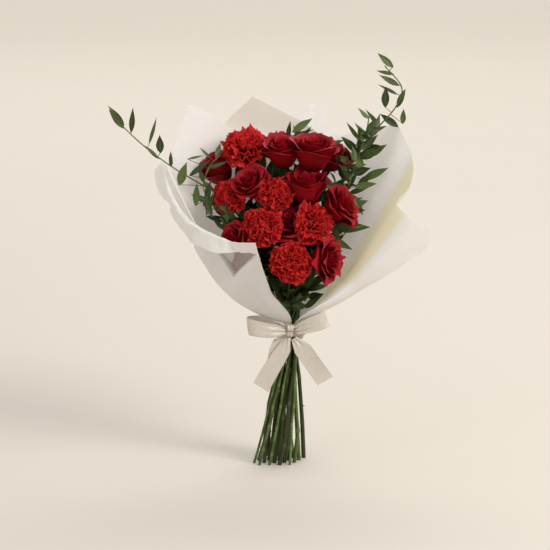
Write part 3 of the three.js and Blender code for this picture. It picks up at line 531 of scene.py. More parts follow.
def carnationPetalGrid(radius, whorl, rng):
    first, last, length, width, _ = whorl
    look = carnationHead
    rows = np.linspace(0, 1, look["rows"]) ** 0.8
    t, s = np.meshgrid(rows, np.linspace(-1, 1, look["columns"]), indexing="ij")
    phase = [rng.uniform(0, 2 * math.pi) for _ in range(7)]
    tooth = np.abs(((s + 1) * look["teeth"] / 2 + phase[3]) % 1 - 0.5) * 2
    uneven = 0.04 * np.sin(2.6 * s + phase[4]) + 0.02 * np.sin(7 * s + phase[5])
    rim = 1 - 0.2 * s ** 2 + (look["toothDepth"] * (tooth - 0.5) + uneven) * t ** 3
    tilts = [first, lerp(first, last, 0.2), lerp(first, last, 0.6) + rng.uniform(-10, 10)]
    tilts.append(last + rng.uniform(-18, 18))
    long = radius * length * rng.uniform(0.88, 1.06)
    tilt, reach, height = petalSurface(t * rim, s, long, (0, 0.4, 0.75, 1), tilts, rng.uniform(-30, 30), 0)
    wide = radius * width * rng.uniform(0.8, 1.1) * (0.1 + 0.9 * smoothStep((t - 0.12) / 0.8))
    waves = rng.uniform(1.1, 1.7)
    swing = waves * math.pi * s
    ruffle = (np.sin(swing + phase[0]) + 0.75 * np.sin(2.3 * swing + phase[1] + 1.5 * t)
              + 0.4 * np.sin(4.9 * swing + phase[2] - 2 * t))
    ruffle = ruffle * look["ruffle"] * radius * t ** 1.9
    sway = 0.1 * radius * t ** 2 * np.sin(5.5 * t + phase[6] + s)
    side = s * wide * (1 - 0.12 * np.cos(2 * swing + phase[0]) * t)
    outward = reach + np.cos(tilt) * ruffle - 0.3 * side ** 2 / radius
    upward = height - np.sin(tilt) * ruffle
    return np.stack([outward, side + sway, upward], -1)


def makeCarnation(name, plan):
    rng = random.Random(name)
    radius = plan["radius"] * mm
    mouth, axis = mouthOf("carnation", plan)
    pile = newPile()
    for w, whorl in enumerate(carnationHead["whorls"]):
        count = whorl[4]
        for k in range(count):
            turn = 2 * math.pi * (k + 0.5 * (w % 2) + rng.uniform(-0.25, 0.25)) / count + 0.7 * w
            grid = carnationPetalGrid(radius, whorl, rng)
            grid[..., 0] += radius * lerp(0.12, 0.01, w / 6)
            addSkin(pile, grid, carnationHead["thickness"], rng.random(), standOn(mouth, axis, turn))
    makePiece(name + "_bloom", pile, carnationPetal, name + "_petals")


for name, plan in carnations.items():
    makeCarnation(name, plan)
print("carnations made")


roseHead = {
    # tilt of a petal at five places from foot to rim; length over the radius, half spread round the head in
    # degrees, how far its sides roll back, and how many
    "whorls": [((84, 52, 34, 78, 140), 1.46, 70, 26, 3), ((76, 40, 22, 56, 124), 1.56, 72, 22, 3),
               ((64, 28, 12, 34, 98), 1.58, 70, 18, 3), ((50, 18, 4, 14, 66), 1.54, 66, 14, 3),
               ((38, 10, -4, 2, 34), 1.48, 64, 10, 3), ((26, 4, -10, -6, 12), 1.42, 68, 4, 3),
               ((16, 0, -12, -10, 0), 1.36, 80, 0, 3)],
    "closed": (62, 18, -4, 0, 14),  # the tilts of a petal that hasn't opened
    "thickness": 0.45 * mm, "columns": 27, "rows": 24,
}


def rosePetalGrid(radius, whorl, foot, plan, rng):
    tilts, length, spread, roll, _ = whorl
    look = roseHead
    length = length * (0.86 + 0.14 / plan["reach"])
    t, s = np.meshgrid(np.linspace(0, 1, look["rows"]), np.linspace(-1, 1, look["columns"]), indexing="ij")
    tilts = [(a - b) * plan["opening"] + b for a, b in zip(tilts, look["closed"])]
    tilts = [a + rng.uniform(-3, 3) for a in tilts]
    tilts[-1] += rng.uniform(-10, 20)
    phase = [rng.uniform(0, 6.28) for _ in range(3)]
    rim = 1 - 0.1 * s ** 2 - 0.24 * s ** 8 + plan.get("point", 0.02) * np.exp(-(s / 0.14) ** 2) * t ** 8
    rim = rim + (0.03 * np.sin(3.3 * s + phase[0]) + 0.018 * np.sin(8 * s + phase[1])) * t
    long = radius * length * rng.uniform(0.94, 1.06)
    tilt, reach, height = petalSurface(t * rim, s, long, (0, 0.25, 0.58, 0.84, 1), tilts,
                                       roll * rng.uniform(0.7, 1.4), foot)
    wave = radius * 0.05 * np.sin(4.4 * s + phase[2] + 2 * t) * t ** 3
    reach = reach + np.cos(tilt) * wave
    height = height - np.sin(tilt) * wave
    fan = 0.42 + 0.58 * np.sin(0.5 * math.pi * np.clip(t / 0.62, 0, 1))
    fan = fan * (1 - 0.14 * np.clip((t - 0.6) / 0.4, 0, 1) ** 2)
    bend = s * math.radians(spread * rng.uniform(0.92, 1.08)) * fan
    return np.stack([reach * np.cos(bend), reach * np.sin(bend), height], -1)


def makeRose(name, plan):
    rng = random.Random(name)
    radius = plan["radius"] * plan["reach"] * mm
    mouth, axis = mouthOf("rose", plan)
    pile = newPile()
    turn = 0.0
    for w, whorl in enumerate(roseHead["whorls"]):
        for k in range(whorl[4]):
            turn += 2 * math.pi / whorl[4] + rng.uniform(-0.15, 0.15)
            grid = rosePetalGrid(radius, whorl, radius * lerp(0.16, 0.02, w / 6), plan, rng)
            addSkin(pile, grid, roseHead["thickness"], rng.random(), standOn(mouth, axis, turn))
        turn += 1.05
    makePiece(name + "_bloom", pile, rosePetal, name + "_petals")


for name, plan in roses.items():
    makeRose(name, plan)
print("roses made")


stemLook = {
    # sizes: radii in mm at the cut end, the tie and the neck; knots: how far apart the joints are;
    # swell and scar: how much they show; knee: how far a stem steps aside there
    "carnation": {"sizes": (2.9, 2.35, 2.0), "knots": 74, "swell": 0.34, "scar": 1.0, "knee": 4.6},
    "rose": {"sizes": (3.1, 2.4, 2.2), "knots": 66, "swell": 0.08, "scar": 0.35, "knee": 4.0},
    "ruscus": {"sizes": (1.9, 1.6, 0.8), "knots": 34, "swell": 0.1, "scar": 1.0, "knee": 1.2},
}
cadStems = {}  # the points and edges of each CAD stem that has been read


def sliceCentre(node, height, near=None, within=6 * mm):  # middle of a CAD stem where a level plane cuts it
    if node not in cadStems:
        mesh = frame["nodes"][node].data
        points = np.empty(len(mesh.vertices) * 3)
        mesh.vertices.foreach_get("co", points)
        edges = np.empty(len(mesh.edges) * 2, int)
        mesh.edges.foreach_get("vertices", edges)
        cadStems[node] = points.reshape(-1, 3), edges.reshape(-1, 2)
    points, edges = cadStems[node]
    a, b = points[edges[:, 0]], points[edges[:, 1]]
    crossing = (a[:, 2] - height) * (b[:, 2] - height) < 0
    a, b = a[crossing], b[crossing]
    if not len(a):
        return None
    cut = a + (b - a) * ((height - a[:, 2]) / (b[:, 2] - a[:, 2]))[:, None]
    if near is not None:
        cut = cut[np.linalg.norm(cut[:, :2] - np.array(near)[:2], axis=1) < within]
    if len(cut) < 5:
        return None
    x, y = cut[:, 0], cut[:, 1]
    return Vector(((x.min() + x.max()) / 2, (y.min() + y.max()) / 2, height))


def stemPoints(node, top, stop=32 * mm):  # the CAD stem's own line, from its cut end to near a point
    low = sliceCentre(node, 12 * mm)
    high = sliceCentre(node, 186 * mm)
    rise = (high - low) / (high.z - low.z)
    points = [low + rise * (z * mm - low.z) for z in (0, 45, 90, 135, 186)]
    z = 198 * mm
    while z < top.z - 4 * mm and (points[-1] - top).length > stop:
        guess = points[-1] + (points[-1] - points[-2]) * ((z - points[-1].z) / (points[-1].z - points[-2].z))
        centre = sliceCentre(node, z, guess)
        if centre is None:
            break
        points.append(centre)
        z += 12 * mm
    return points


def addStem(pile, line, look, rng):
    run = np.linspace(0, 1, len(line))
    total = np.linalg.norm(np.diff(line, axis=0), axis=1).sum()
    radii = np.interp(run, [0, tie.z / total, 1], look["sizes"]) * mm * rng.uniform(0.9, 1.06)
    total = total / mm
    tangents, u, v = framesAlong(line)
    knot, bends, joint = rng.uniform(14, 0.9 * look["knots"]), [(0.0, 0.0, 0.0)], np.zeros(len(line))
    while knot < total:
        near = np.exp(-((run * total - knot) / 2.6) ** 2)
        radii = radii * (1 + look["swell"] * near)
        joint = np.maximum(joint, near * look["scar"])
        if 12 < knot < 160:  # below the tie each stem has a slight knee at its joints
            bends.append((knot, rng.uniform(-1, 1) * look["knee"], rng.uniform(-1, 1) * look["knee"]))
        knot += look["knots"] * rng.uniform(0.75, 1.2)
    bends += [(186.0, 0.0, 0.0), (total, 0.0, 0.0)]
    marks, aside, forward = zip(*bends)
    line = line + np.interp(run * total, marks, aside)[:, None] * u * mm
    line = line + np.interp(run * total, marks, forward)[:, None] * v * mm
    addTube(pile, line, radii, 12, rng.random(), lambda t, a: 1 + 0.035 * np.cos(3 * a + 14 * t))
    pile["joint"] = np.concatenate([np.repeat(joint, 12), [0, 0]])
    return line


def addBlade(pile, length, width, place, rng, columns, rows, curl, fold, teeth=0.0, point=1.0, own=None):
    # a leaf blade from its stalk to its tip, its upper face towards +X
    t = np.linspace(0, 1, rows)[:, None]
    s = np.linspace(-1, 1, columns)[None]
    outline = np.sin(math.pi * np.clip(t, 0, 1) ** 0.82) ** point * (1 - 0.15 * t)
    outline = np.maximum(outline, 0.035 + 0.05 * (t < 0.06))
    half = 0.5 * width * outline
    if teeth:
        half = half * (1 + teeth * np.abs(s) ** 4 * (((t * rows) % 2 < 1) * 2 - 1))
    wave = [rng.uniform(0, 6.28), rng.uniform(-1, 1), rng.uniform(0.6, 1.4)]
    up = length * (curl * wave[2] * t * t * 0.8 + 0.012 * np.sin(5 * t + wave[0])) + fold * half * np.abs(s)
    up = up + 0.05 * width * np.sin(7 * t + wave[0]) * s
    twist = 0.5 * wave[1] * t * s * half
    grid = np.stack([up + twist, s * half * np.ones_like(t), t * length * np.ones_like(s)], -1)
    addSkin(pile, grid, 0.5 * mm, rng.random() if own is None else own, place)


def bladePlace(base, along, upper):  # moves a blade onto its stalk's end, its upper face towards a direction
    along = along.normalized()
    across = along.cross(upper).normalized()
    face = across.cross(along)
    return Matrix.Translation(base) @ Matrix((face, across, along)).transposed().to_4x4()


def addStalk(pile, start, end, radii):  # the short stalk of a leaf
    addTube(pile, np.linspace(start, end, 4), np.array(radii) * mm, 6, 0.2)


def addLeafTips(pile, tips, line, upper, radii, rng, shade=None, **blade):
    # leaves that stand clear of the rest
    for start, end, wide in tips:
        base, tip = Vector(start) * mm, Vector(end) * mm
        length = (tip - base).length
        own = shade(rng) if shade else None
        addBlade(pile, length, length * wide, bladePlace(base, tip - base, upper), rng, own=own, **blade)
        k = int(np.argmin(np.linalg.norm(line - np.array(base), axis=1)))
        addStalk(pile, line[k], np.array(base + (tip - base) * 0.03), radii)


greenCups = {  # the green part below the petals, as (radius, height) in mm, and the pieces that stand round it
    "carnation": {"profile": [(0, -26), (2.6, -26), (4.6, -23), (6.0, -14), (6.5, -5), (6.6, 0), (5.2, 0.6),
                              (0, 0.6)], "sides": 20, "shade": 0.4, "ring": (6.1 * mm, -2 * mm), "start": 0.0},
    "rose": {"profile": [(0, -13), (2.4, -13), (4.4, -10.5), (6.0, -6), (5.6, -1), (4.6, 0.4), (0, 0.6)],
             "sides": 18, "shade": 0.6, "ring": (4.6 * mm, -1 * mm), "start": 0.3},
}


def addGreenCup(pile, kind, mouth, axis, rng):
    look = greenCups[kind]
    cup = standOn(mouth, axis, rng.uniform(0, 6.28))
    addLathe(pile, look["profile"], cup, look["sides"], look["shade"])
    radius, height = look["ring"]
    for k in range(5):
        turn = 2 * math.pi * k / 5 + look["start"]
        at = cup @ Vector((radius * math.cos(turn), radius * math.sin(turn), height))
        out = (cup.to_3x3() @ Vector((math.cos(turn), math.sin(turn), 0))).normalized()
        if kind == "carnation":  # a tooth of the calyx
            addBlade(pile, 7 * mm, 6.5 * mm, bladePlace(at, axis + out * 0.25, out), rng, 5, 7, 0.05, 0.1)
        else:  # a sepal, bent back under the petals
            length = rng.uniform(16, 22) * mm
            place = bladePlace(at, out + axis * rng.uniform(-0.5, 0.3), axis)
            addBlade(pile, length, 6.5 * mm, place, rng, 5, 9, -0.25, 0.2)


def addNarrowLeaves(pile, line, plan, rng):  # a carnation's grey-green leaves, curling at the tip
    for _ in range(6):
        k = int(rng.uniform(0.72, 0.94) * len(line))
        along = facing(plan["turn"] + rng.uniform(-120, 120), rng.uniform(10, 70))
        place = bladePlace(Vector(line[k]), along, Vector((0, 0, 1)))
        addBlade(pile, rng.uniform(34, 58) * mm, 5.5 * mm, place, rng, 5, 17, -0.3, 0.35, 0, 0.6)


def makeFlowerStem(kind, name, plan):
    rng = random.Random(name + "stem")
    node = name + "_stem"
    mouth, axis = mouthOf(kind, plan)
    neck = mouth + axis * (greenCups[kind]["profile"][0][1] * mm)
    points = stemPoints(node, neck)
    points += [neck - axis * 8 * mm, neck + axis * 2 * mm]
    pile = newPile()
    line = addStem(pile, smoothLine(points, 2.4 * mm), stemLook[kind], rng)
    addGreenCup(pile, kind, mouth, axis, rng)
    if kind == "carnation":
        addNarrowLeaves(pile, line, plan, rng)
    stem = makePiece(name + "_stalk", pile, stemSkin[kind], node)
    if kind == "rose":
        makeThorns(name, stem, line, rng)
        makeRoseLeaves(name, stem, line, plan, rng)


def makeThorns(name, stem, line, rng):
    tangents, u, v = framesAlong(line)
    thorns = newPile()
    k = int(rng.uniform(6, 20))
    while k < len(line) * 0.42:
        turn = rng.uniform(0, 6.28)
        out = Vector(math.cos(turn) * u[k] + math.sin(turn) * v[k])
        up = Vector(tangents[k])
        base = Vector(line[k]) + out * 1.9 * mm
        tip = base + out * 4.2 * mm - up * 2.2 * mm
        path = [base.lerp(tip, a) + up * (0.7 * mm * math.sin(math.pi * a)) for a in np.linspace(0, 1, 5)]
        addTube(thorns, path, np.array([1.3, 0.95, 0.6, 0.32, 0.08]) * mm, 8, 0.9)
        k += int(rng.uniform(14, 34))
    if thorns["count"]:
        made = makePiece(name + "_thorns", thorns, stemSkin["rose"], name + "_stem")
        made.parent = stem


def makeRoseLeaves(name, stem, line, plan, rng):
    pile = newPile()
    filler = []
    for _ in range(18):
        share, turn = rng.uniform(0.8, 0.95), plan["turn"] * 0.5 + rng.uniform(-130, 130)
        filler.append((share, turn, rng.uniform(-5, 70), rng.uniform(34, 50)))
    for share, turn, lift, length in plan["leaves"] + filler:
        k = min(int(share * len(line)), len(line) - 1)
        along = facing(turn, lift)
        place = bladePlace(Vector(line[k]) - along * 1.5 * mm, along, Vector((0, 0, 1)))
        addBlade(pile, length * mm, length * 0.46 * mm, place, rng, 11, 19, 0.12, 0.22, 0.05)
    addLeafTips(pile, plan.get("leafTips", ()), line, Vector((0.2, -1, 0.5)), (0.9, 0.8, 0.7, 0.6), rng,
                columns=11, rows=19, curl=0.1, fold=0.22, teeth=0.05)
    leaves = makePiece(name + "_leaves", pile, roseLeaf, name + "_stem")
    leaves.parent = stem


for name, plan in carnations.items():
    makeFlowerStem("carnation", name, plan)
for name, plan in roses.items():
    makeFlowerStem("rose", name, plan)
print("stems made")


def ruscusShade(rng):  # most leaves are dark, some half grown and yellow-green
    return rng.uniform(0.75, 1.1) if rng.random() < 0.22 else rng.uniform(0, 0.5)


def makeSprig(name, plan):
    rng = random.Random(name)
    points = stemPoints(name, Vector((tie.x, tie.y, 252 * mm)), 0) + [Vector(p) * mm for p in plan["route"]]
    pile = newPile()
    line = addStem(pile, smoothLine(points, 2.4 * mm), stemLook["ruscus"], rng)
    stem = makePiece(name + "_stalk", pile, stemSkin["ruscus"], name)
    tangents = framesAlong(line)[0]
    foliage = newPile()
    addSprigLeaves(foliage, line, tangents, plan, rng)
    addShoots(foliage, line, tangents, plan, rng)
    addLeafTips(foliage, plan["leafTips"], line, Vector((-0.3, -1, 0.4)), (0.6, 0.5, 0.45, 0.4), rng,
                ruscusShade, columns=9, rows=17, curl=0.1, fold=0.2)
    leaves = makePiece(name + "_leaves", foliage, ruscusLeaf, name)
    leaves.parent = stem


def addSprigLeaves(pile, line, tangents, plan, rng):  # leaves to the left and right in turn
    count = plan["leaves"]
    for i in range(count):
        share = lerp(plan["first"], plan.get("last", 0.985), i / (count - 1)) + rng.uniform(-0.008, 0.008)
        k = min(int(share * (len(line) - 1)), len(line) - 1)
        tangent = Vector(tangents[k])
        side = Vector((0, -1, 0)).cross(tangent).normalized() * (1 if i % 2 else -1)
        splay = math.radians(40 + rng.uniform(-22, 18))
        along = tangent * math.cos(splay) + side * math.sin(splay)
        x, y = rng.uniform(-0.15, 0.15), rng.uniform(-0.5, 0.35)
        along += Vector((x, y, plan.get("rising", 0.0) * rng.uniform(0.5, 1.2)))
        along.normalize()
        length = plan["length"] * mm * lerp(1.04, 0.8, i / count) * rng.uniform(0.78, 1.08)
        tip = Vector((rng.uniform(-0.9, 0.9), rng.uniform(-0.3, 0.3), rng.uniform(-0.3, 0.7)))
        width = length * rng.uniform(0.28, 0.4)
        place = bladePlace(Vector(line[k]) - along * mm, along, side.cross(along) + tip)
        curl = rng.uniform(-0.16, 0.3)
        addBlade(pile, length, width, place, rng, 9, 17, curl, 0.24, own=ruscusShade(rng))


def addShoots(pile, line, tangents, plan, rng):  # leaves of the short side shoots, low on the sprig
    shares = plan.get("shootsFrom", (plan["first"] - 0.06, 0.8))
    wide = plan.get("shootsReach", 10)
    for _ in range(plan["shoots"]):
        k = int(lerp(*shares, rng.random()) * (len(line) - 1))
        along = Vector(tangents[k]) * rng.uniform(0.1, 1)
        along += Vector((rng.uniform(-1, 1), rng.uniform(-1, 0.2), rng.uniform(-0.6, 0.8)))
        along.normalize()
        start = Vector((rng.uniform(-wide, wide), rng.uniform(-1.2 * wide, 2), rng.uniform(-8, 8)))
        base = Vector(line[k]) + start * mm
        length = plan["length"] * mm * rng.uniform(0.7, 1.0)
        upper = Vector((rng.uniform(-0.9, 0.9), -1, rng.uniform(-0.3, 1)))
        width = length * rng.uniform(0.28, 0.4)
        curl = rng.uniform(-0.2, 0.35)
        place = bladePlace(base, along, upper)
        addBlade(pile, length, width, place, rng, 9, 17, curl, 0.24, own=ruscusShade(rng))
        addStalk(pile, line[k], np.array(base + along * mm), (0.5, 0.45, 0.4, 0.35))


for name, plan in sprigs.items():
    makeSprig(name, plan)
print("ruscus made")


paperLook = {
    # in mm: the twine's outside with room for the inner layers, the step from layer to layer, how far a sheet
    # reaches below and above the tie; then the points along and across it
    "inside": 17.8, "spacing": 1.15, "below": 15, "above": 10, "thickness": 0.3 * mm, "rows": 72, "columns": 90,
}
papers = {
    # a rib is a line up the sheet: azimuth, tilt where it leaves the tie, tilt at its end, length,
    # then its layer and its share of the rolled edge, where they differ from the sheet's own layer and 1
    "wrap_back_left": {
        "layer": 1,
        "ribs": [(84, 27, 8, 254), (112, 30, 9, 272), (136, 34, 9, 288), (157, 40, 10, 338), (168, 44, 16, 298),
                 (178, 50, 20, 272)]},
    "wrap_back_middle": {
        "layer": 2,
        "ribs": [(66, 32, 8, 268), (84, 32, 10, 292), (102, 32, 6, 310), (118, 34, 2, 328), (132, 38, 6, 304),
                 (146, 42, 14, 272)]},
    "wrap_back_right": {
        "layer": 3,
        "ribs": [(24, 47, 21, 256), (42, 44, 18, 262), (60, 40, 14, 274), (76, 37, 8, 322), (90, 37, 10, 298),
                 (104, 38, 14, 278)]},
    "wrap_right": {
        "layer": 1, "gathered": (0, 0, 0, 0, -14, -24, -44, -46, -48),
        "lining": (0.37, 0.72, 0.0),  # painted shade, cream-tinted like light come through the paper, on the inner face from one share across to another
        "ribs": [(62, 27, 17, 264), (40, 31, 20, 290), (16, 36, 18, 312), (4, 39, 27, 284), (-10, 42, 32, 254),
                 (-24, 47, 29, 232), (-28, 55, 38, 238, 1.5), (-20, 60, 44, 238, 2), (-10, 62, 52, 210, 2)]},
    "wrap_left": {
        "layer": 2, "rolled": {"angle": 174, "radius": 5, "flap": 25.5, "share": 1 / 3},
        "crumple": 1.2, "cuffCrumple": 3.2,
        "ribs": [(164, 53, 22, 278, 2, 0.6), (180, 58, 18, 256, 2, 1), (192, 58, 20, 234, 2, 1.15),
                 (206, 56, 24, 202, 2, 0.9), (222, 48, 26, 166, 2, 0.7), (238, 38, 24, 130, 2, 0.3)]},
    "wrap_front_left": {
        "layer": 3, "gathered": (0, 0, 0, 4, 14, 26), "crumple": 1.0,
        # tuck: its corners as shares across and up the sheet, the depth of its dent, and how strongly its
        # painted shade shows
        "tuck": {"corners": ((0.54, 0.93), (0.62, 0.68), (0.98, 0.88)), "depth": 9 * mm, "shade": 0.85},
        "ribs": [(176, 70, 26, 160), (190, 72, 18, 172), (204, 71, 12, 176), (218, 67, 10, 175),
                 (232, 58, 16, 170), (246, 45, 28, 171)]},
}


def crumple(grid, side, depth, seed):  # sharp creases in random directions: ridged noise on three scales
    creaseSize, scales = 30 * mm, (1, 2.1, 4.3)
    shift = Vector((seed, 2 * seed, 3 * seed))
    out = np.zeros(grid.shape[:2])
    for i in range(grid.shape[0]):
        for j in range(grid.shape[1]):
            at = Vector(grid[i, j])
            ridges = [0.5 - abs(noise.noise(at * k / creaseSize + shift * k)) for k in scales]
            out[i, j] = sum(ridge / k for ridge, k in zip(ridges, scales))
    return grid + side * (out * depth)[..., None]


def normalsOf(grid):
    side = np.cross(np.gradient(grid, axis=1), np.gradient(grid, axis=0))
    return side / (np.linalg.norm(side, axis=2, keepdims=True) + 1e-12)


def insideTriangle(p, q, corners, soft):  # 1 well inside a triangle, 0 outside, with a soft step between
    inside = 1.0
    for k in range(3):
        (ax, ay), (bx, by) = corners[k], corners[(k + 1) % 3]
        inward = ((bx - ax) * (q - ay) - (by - ay) * (p - ax)) / math.hypot(bx - ax, by - ay)
        inside = inside * smoothStep(inward / soft + 0.5)
    return inside


def paperGrid(plan, seed):
    ribs = [(*rib, *(plan["layer"], 1.0)[len(rib) - 4:]) for rib in plan["ribs"]]
    rolled = plan.get("rolled")
    rows, columns = paperLook["rows"], paperLook["columns"]
    at = np.linspace(0, len(ribs) - 1, columns)
    spots = np.arange(len(ribs))
    # the bend values run smoothly from rib to rib, the lengths in straight lines
    smooth = smoothLine([(rib[0], rib[1], rib[2]) for rib in ribs], 0.5)
    key = [int(np.argmin(np.linalg.norm(smooth - np.array(rib[:3]), axis=1))) for rib in ribs]
    pick = np.interp(at, spots, key)
    azimuth, root, tip = (np.interp(pick, np.arange(len(smooth)), smooth[:, c])[None] for c in range(3))
    length, layer, share = (np.interp(at, spots, [rib[c] for rib in ribs])[None] for c in (3, 4, 5))
    gathered = np.interp(at, spots, plan.get("gathered", [0] * len(ribs)))[None]
    run = np.concatenate([np.linspace(-1, 0, 9)[:-1], np.linspace(0, 1, rows - 8)])[:, None]
    body = 1 - rolled["share"] if rolled else 1.0
    r = paperLook["inside"] + paperLook["spacing"] * (layer - 1) + 0 * run
    z = paperLook["above"] + np.minimum(run, 0) * (paperLook["above"] + paperLook["below"]) + 0 * r
    bend = np.radians(tip - root)
    a = np.radians(root)
    b = a + bend * np.clip(run / body, 0, 1)
    r = r + length / bend * (np.cos(a) - np.cos(b))
    z = z + length / bend * (np.sin(b) - np.sin(a))
    past = np.clip((run - body) / (1 - body + 1e-9), 0, 1) + 0 * r
    if rolled:
        c = b + math.radians(rolled["angle"]) * np.minimum(share, 1) * np.minimum(past / 0.75, 1)
        flap = rolled["flap"] * share * np.maximum(past / 0.25 - 3, 0)
        r = r + rolled["radius"] * (np.cos(b) - np.cos(c)) + flap * np.sin(c)
        z = z + rolled["radius"] * (np.sin(c) - np.sin(b)) + flap * np.cos(c)
    opened = smoothStep(run / 0.45)
    turn = np.radians(azimuth + gathered * (1 - opened))
    grid = np.stack([r * np.cos(turn), r * np.sin(turn), z], -1) * mm + np.array(tie)
    # gathers that run out from the tie, soft dents, a wavy free edge, then sharp handling creases
    side = normalsOf(grid)
    rng = random.Random(seed)
    phase = [rng.uniform(0, 6.28) for _ in range(5)]
    u = at[None] / (len(ribs) - 1) + 0 * run
    out = np.clip(run, 0, 1)
    gather = (np.sin(38 * u + phase[0]) + 0.6 * np.sin(61 * u + phase[1])) * 2 * out * np.exp(-out * 4.5)
    soft = (np.sin(7 * u + 3 * out + phase[2]) + np.sin(11 * u - 5 * out + phase[3])) * 1.3 * out
    edge = np.sin(17 * u + phase[4]) * 0.8 * out ** 4
    grid = grid + side * ((gather + soft + edge) * mm)[..., None]
    calm = smoothStep(run / 0.25)
    rough = plan.get("crumple", 0.7) * calm + plan.get("cuffCrumple", 0) * smoothStep(past * 4)
    return crumple(grid, side, rough * mm, rng.uniform(0, 50)), u, run


def makePaper(name, plan):
    grid, u, run = paperGrid(plan, name)
    outerPaintedShade = np.zeros(grid.shape[:2])
    if "tuck" in plan:  # where a fold tucks the sheet in: a dent, with painted shade tinged pink by the red flowers
        inside = insideTriangle(u, run, plan["tuck"]["corners"], 0.012)
        grid = grid - normalsOf(grid) * (inside * plan["tuck"]["depth"])[..., None]
        outerPaintedShade = plan["tuck"]["shade"] * inside
    innerPaintedShade = outerPaintedShade
    # painted shade with a cream tint of light through the paper, on the inner face of the right sheet's fold
    if "lining" in plan:
        first, last, low = plan["lining"]
        innerPaintedShade = smoothStep((u - first) / 0.03) * smoothStep((last - u) / 0.03)
        innerPaintedShade = innerPaintedShade * smoothStep((run - low) / 0.05)
    pile = newPile()
    paintedShades = np.concatenate([innerPaintedShade.reshape(-1), outerPaintedShade.reshape(-1)])
    addSkin(pile, grid, paperLook["thickness"], paintedShades, None, 0.0)
    paper = {"wrap_back_middle": backPaper, "wrap_front_left": paperWithPaintedTuckShade}.get(name, outerPaper)
    piece = makePiece(name + "_sheet", pile, paper, name)


for name, plan in papers.items():
    makePaper(name, plan)
print("paper made")


wall = {
    # the inner face of the paper is looked up by degrees round the tie and by steps of height; open: no paper
    # there; sheets: the share of each sheet that stands behind the flowers
    "first": -30, "last": 210, "step": 4 * mm, "levels": 160, "open": 9.0,
    "room": 2 * mm, "reachesPast": 40 * mm,  # left between leaf and paper; how far a leaf is brought back
    "sheets": {"wrap_back_left": 1.0, "wrap_back_middle": 1.0, "wrap_back_right": 1.0, "wrap_right": 0.5},
}


def wallTable():  # how far out from the tie the paper stands
    heights = np.arange(wall["levels"]) * wall["step"]
    degrees = np.arange(wall["first"], wall["last"] + 1)
    table = np.full((len(degrees), len(heights)), wall["open"])
    beyond = {"left": wall["open"], "right": wall["open"]}
    for name, share in wall["sheets"].items():
        grid = paperGrid(papers[name], name)[0]
        grid = grid[8:, :int(grid.shape[1] * share)] - np.array([tie.x, tie.y, 0])
        reach = np.hypot(grid[..., 0], grid[..., 1])
        turn = np.degrees(np.arctan2(grid[..., 1], grid[..., 0])).mean(axis=0)
        turn = np.where(turn < wall["first"], turn + 360, turn)
        rise = np.maximum.accumulate(grid[..., 2], axis=0)
        columns = range(grid.shape[1])
        level = np.stack([np.interp(heights, rise[:, k], reach[:, k], **beyond) for k in columns])
        order = np.argsort(turn)
        for j in range(len(heights)):
            found = np.interp(degrees, turn[order], level[order, j], **beyond)
            table[:, j] = np.minimum(table[:, j], found)
    return table


def keepInside(piece, table):  # leaves and petals that reach the paper lie against its inner face
    flat = np.empty(len(piece.data.vertices) * 3)
    piece.data.vertices.foreach_get("co", flat)
    points = flat.reshape(-1, 3)
    away = points[:, :2] - np.array(tie)[:2]
    reach = np.hypot(away[:, 0], away[:, 1])
    turn = np.degrees(np.arctan2(away[:, 1], away[:, 0]))
    turn = np.clip(np.where(turn < wall["first"], turn + 360, turn) - wall["first"], 0, table.shape[0] - 1.001)
    level = np.clip(points[:, 2] / wall["step"], 0, table.shape[1] - 1.001)
    i, j = turn.astype(int), level.astype(int)
    f, g = turn - i, level - j
    lower = lerp(table[i, j], table[i + 1, j], f)
    upper = lerp(table[i, j + 1], table[i + 1, j + 1], f)
    limit = lerp(lower, upper, g) - wall["room"]
    over = (reach > limit) & (reach < limit + wall["reachesPast"])
    away[over] *= (limit[over] / reach[over])[:, None]
    points[:, :2] = away + np.array(tie)[:2]
    piece.data.vertices.foreach_set("co", points.reshape(-1))
    piece.data.update()


paperWall = wallTable()
for piece in bpy.context.scene.objects:
    if piece.name.endswith(("_leaves", "_bloom", "_stalk")):
        keepInside(piece, paperWall)
print("leaves and petals kept inside the paper")


ribbonLook = {
    "width": 25, "cupping": 0.9,  # mm
    "thickness": 0.3 * mm, "steps": 90, "columns": 25,
}


def ribbonStrip(plan):
    # a length of ribbon along its points: wide gives the direction across it, spread the share of its width that
    # it takes up, and pleats how deep it gathers
    line = smoothLine([Vector(p) * mm + tie for p in plan["points"]], 0.4 * mm)
    want = np.linspace(0, len(line) - 1, ribbonLook["steps"])
    line = np.stack([np.interp(want, np.arange(len(line)), line[:, k]) for k in range(3)], -1)
    u = np.linspace(0, 1, ribbonLook["steps"])
    across = np.array([Vector(plan["wide"](t)).normalized() for t in u])
    tangent = np.gradient(line, axis=0)
    tangent /= np.linalg.norm(tangent, axis=1, keepdims=True)
    normal = np.cross(across, tangent)
    normal /= np.linalg.norm(normal, axis=1, keepdims=True)
    q = np.linspace(-0.5, 0.5, ribbonLook["columns"])[None]
    spread = np.array([plan["spread"](t) for t in u])[:, None]
    gather = (1 - spread) * plan["pleats"]
    cupped = ribbonLook["cupping"] * (1 - (2 * q) ** 2) * np.sin(math.pi * u)[:, None]
    lift = gather * np.sin(2 * math.pi * 2.5 * q) + cupped
    aside = ribbonLook["width"] * spread * q
    return line[:, None] + (across[:, None] * aside[..., None] + normal[:, None] * lift[..., None]) * mm


def flatTilt(degrees):  # one direction across all the way along
    return lambda t: (math.sin(math.radians(degrees)), 0, math.cos(math.radians(degrees)))


def pinched(t):  # narrow at both ends, full in the middle
    return 0.42 + 0.58 * math.sin(math.pi * min(max(t, 0), 1)) ** 0.6


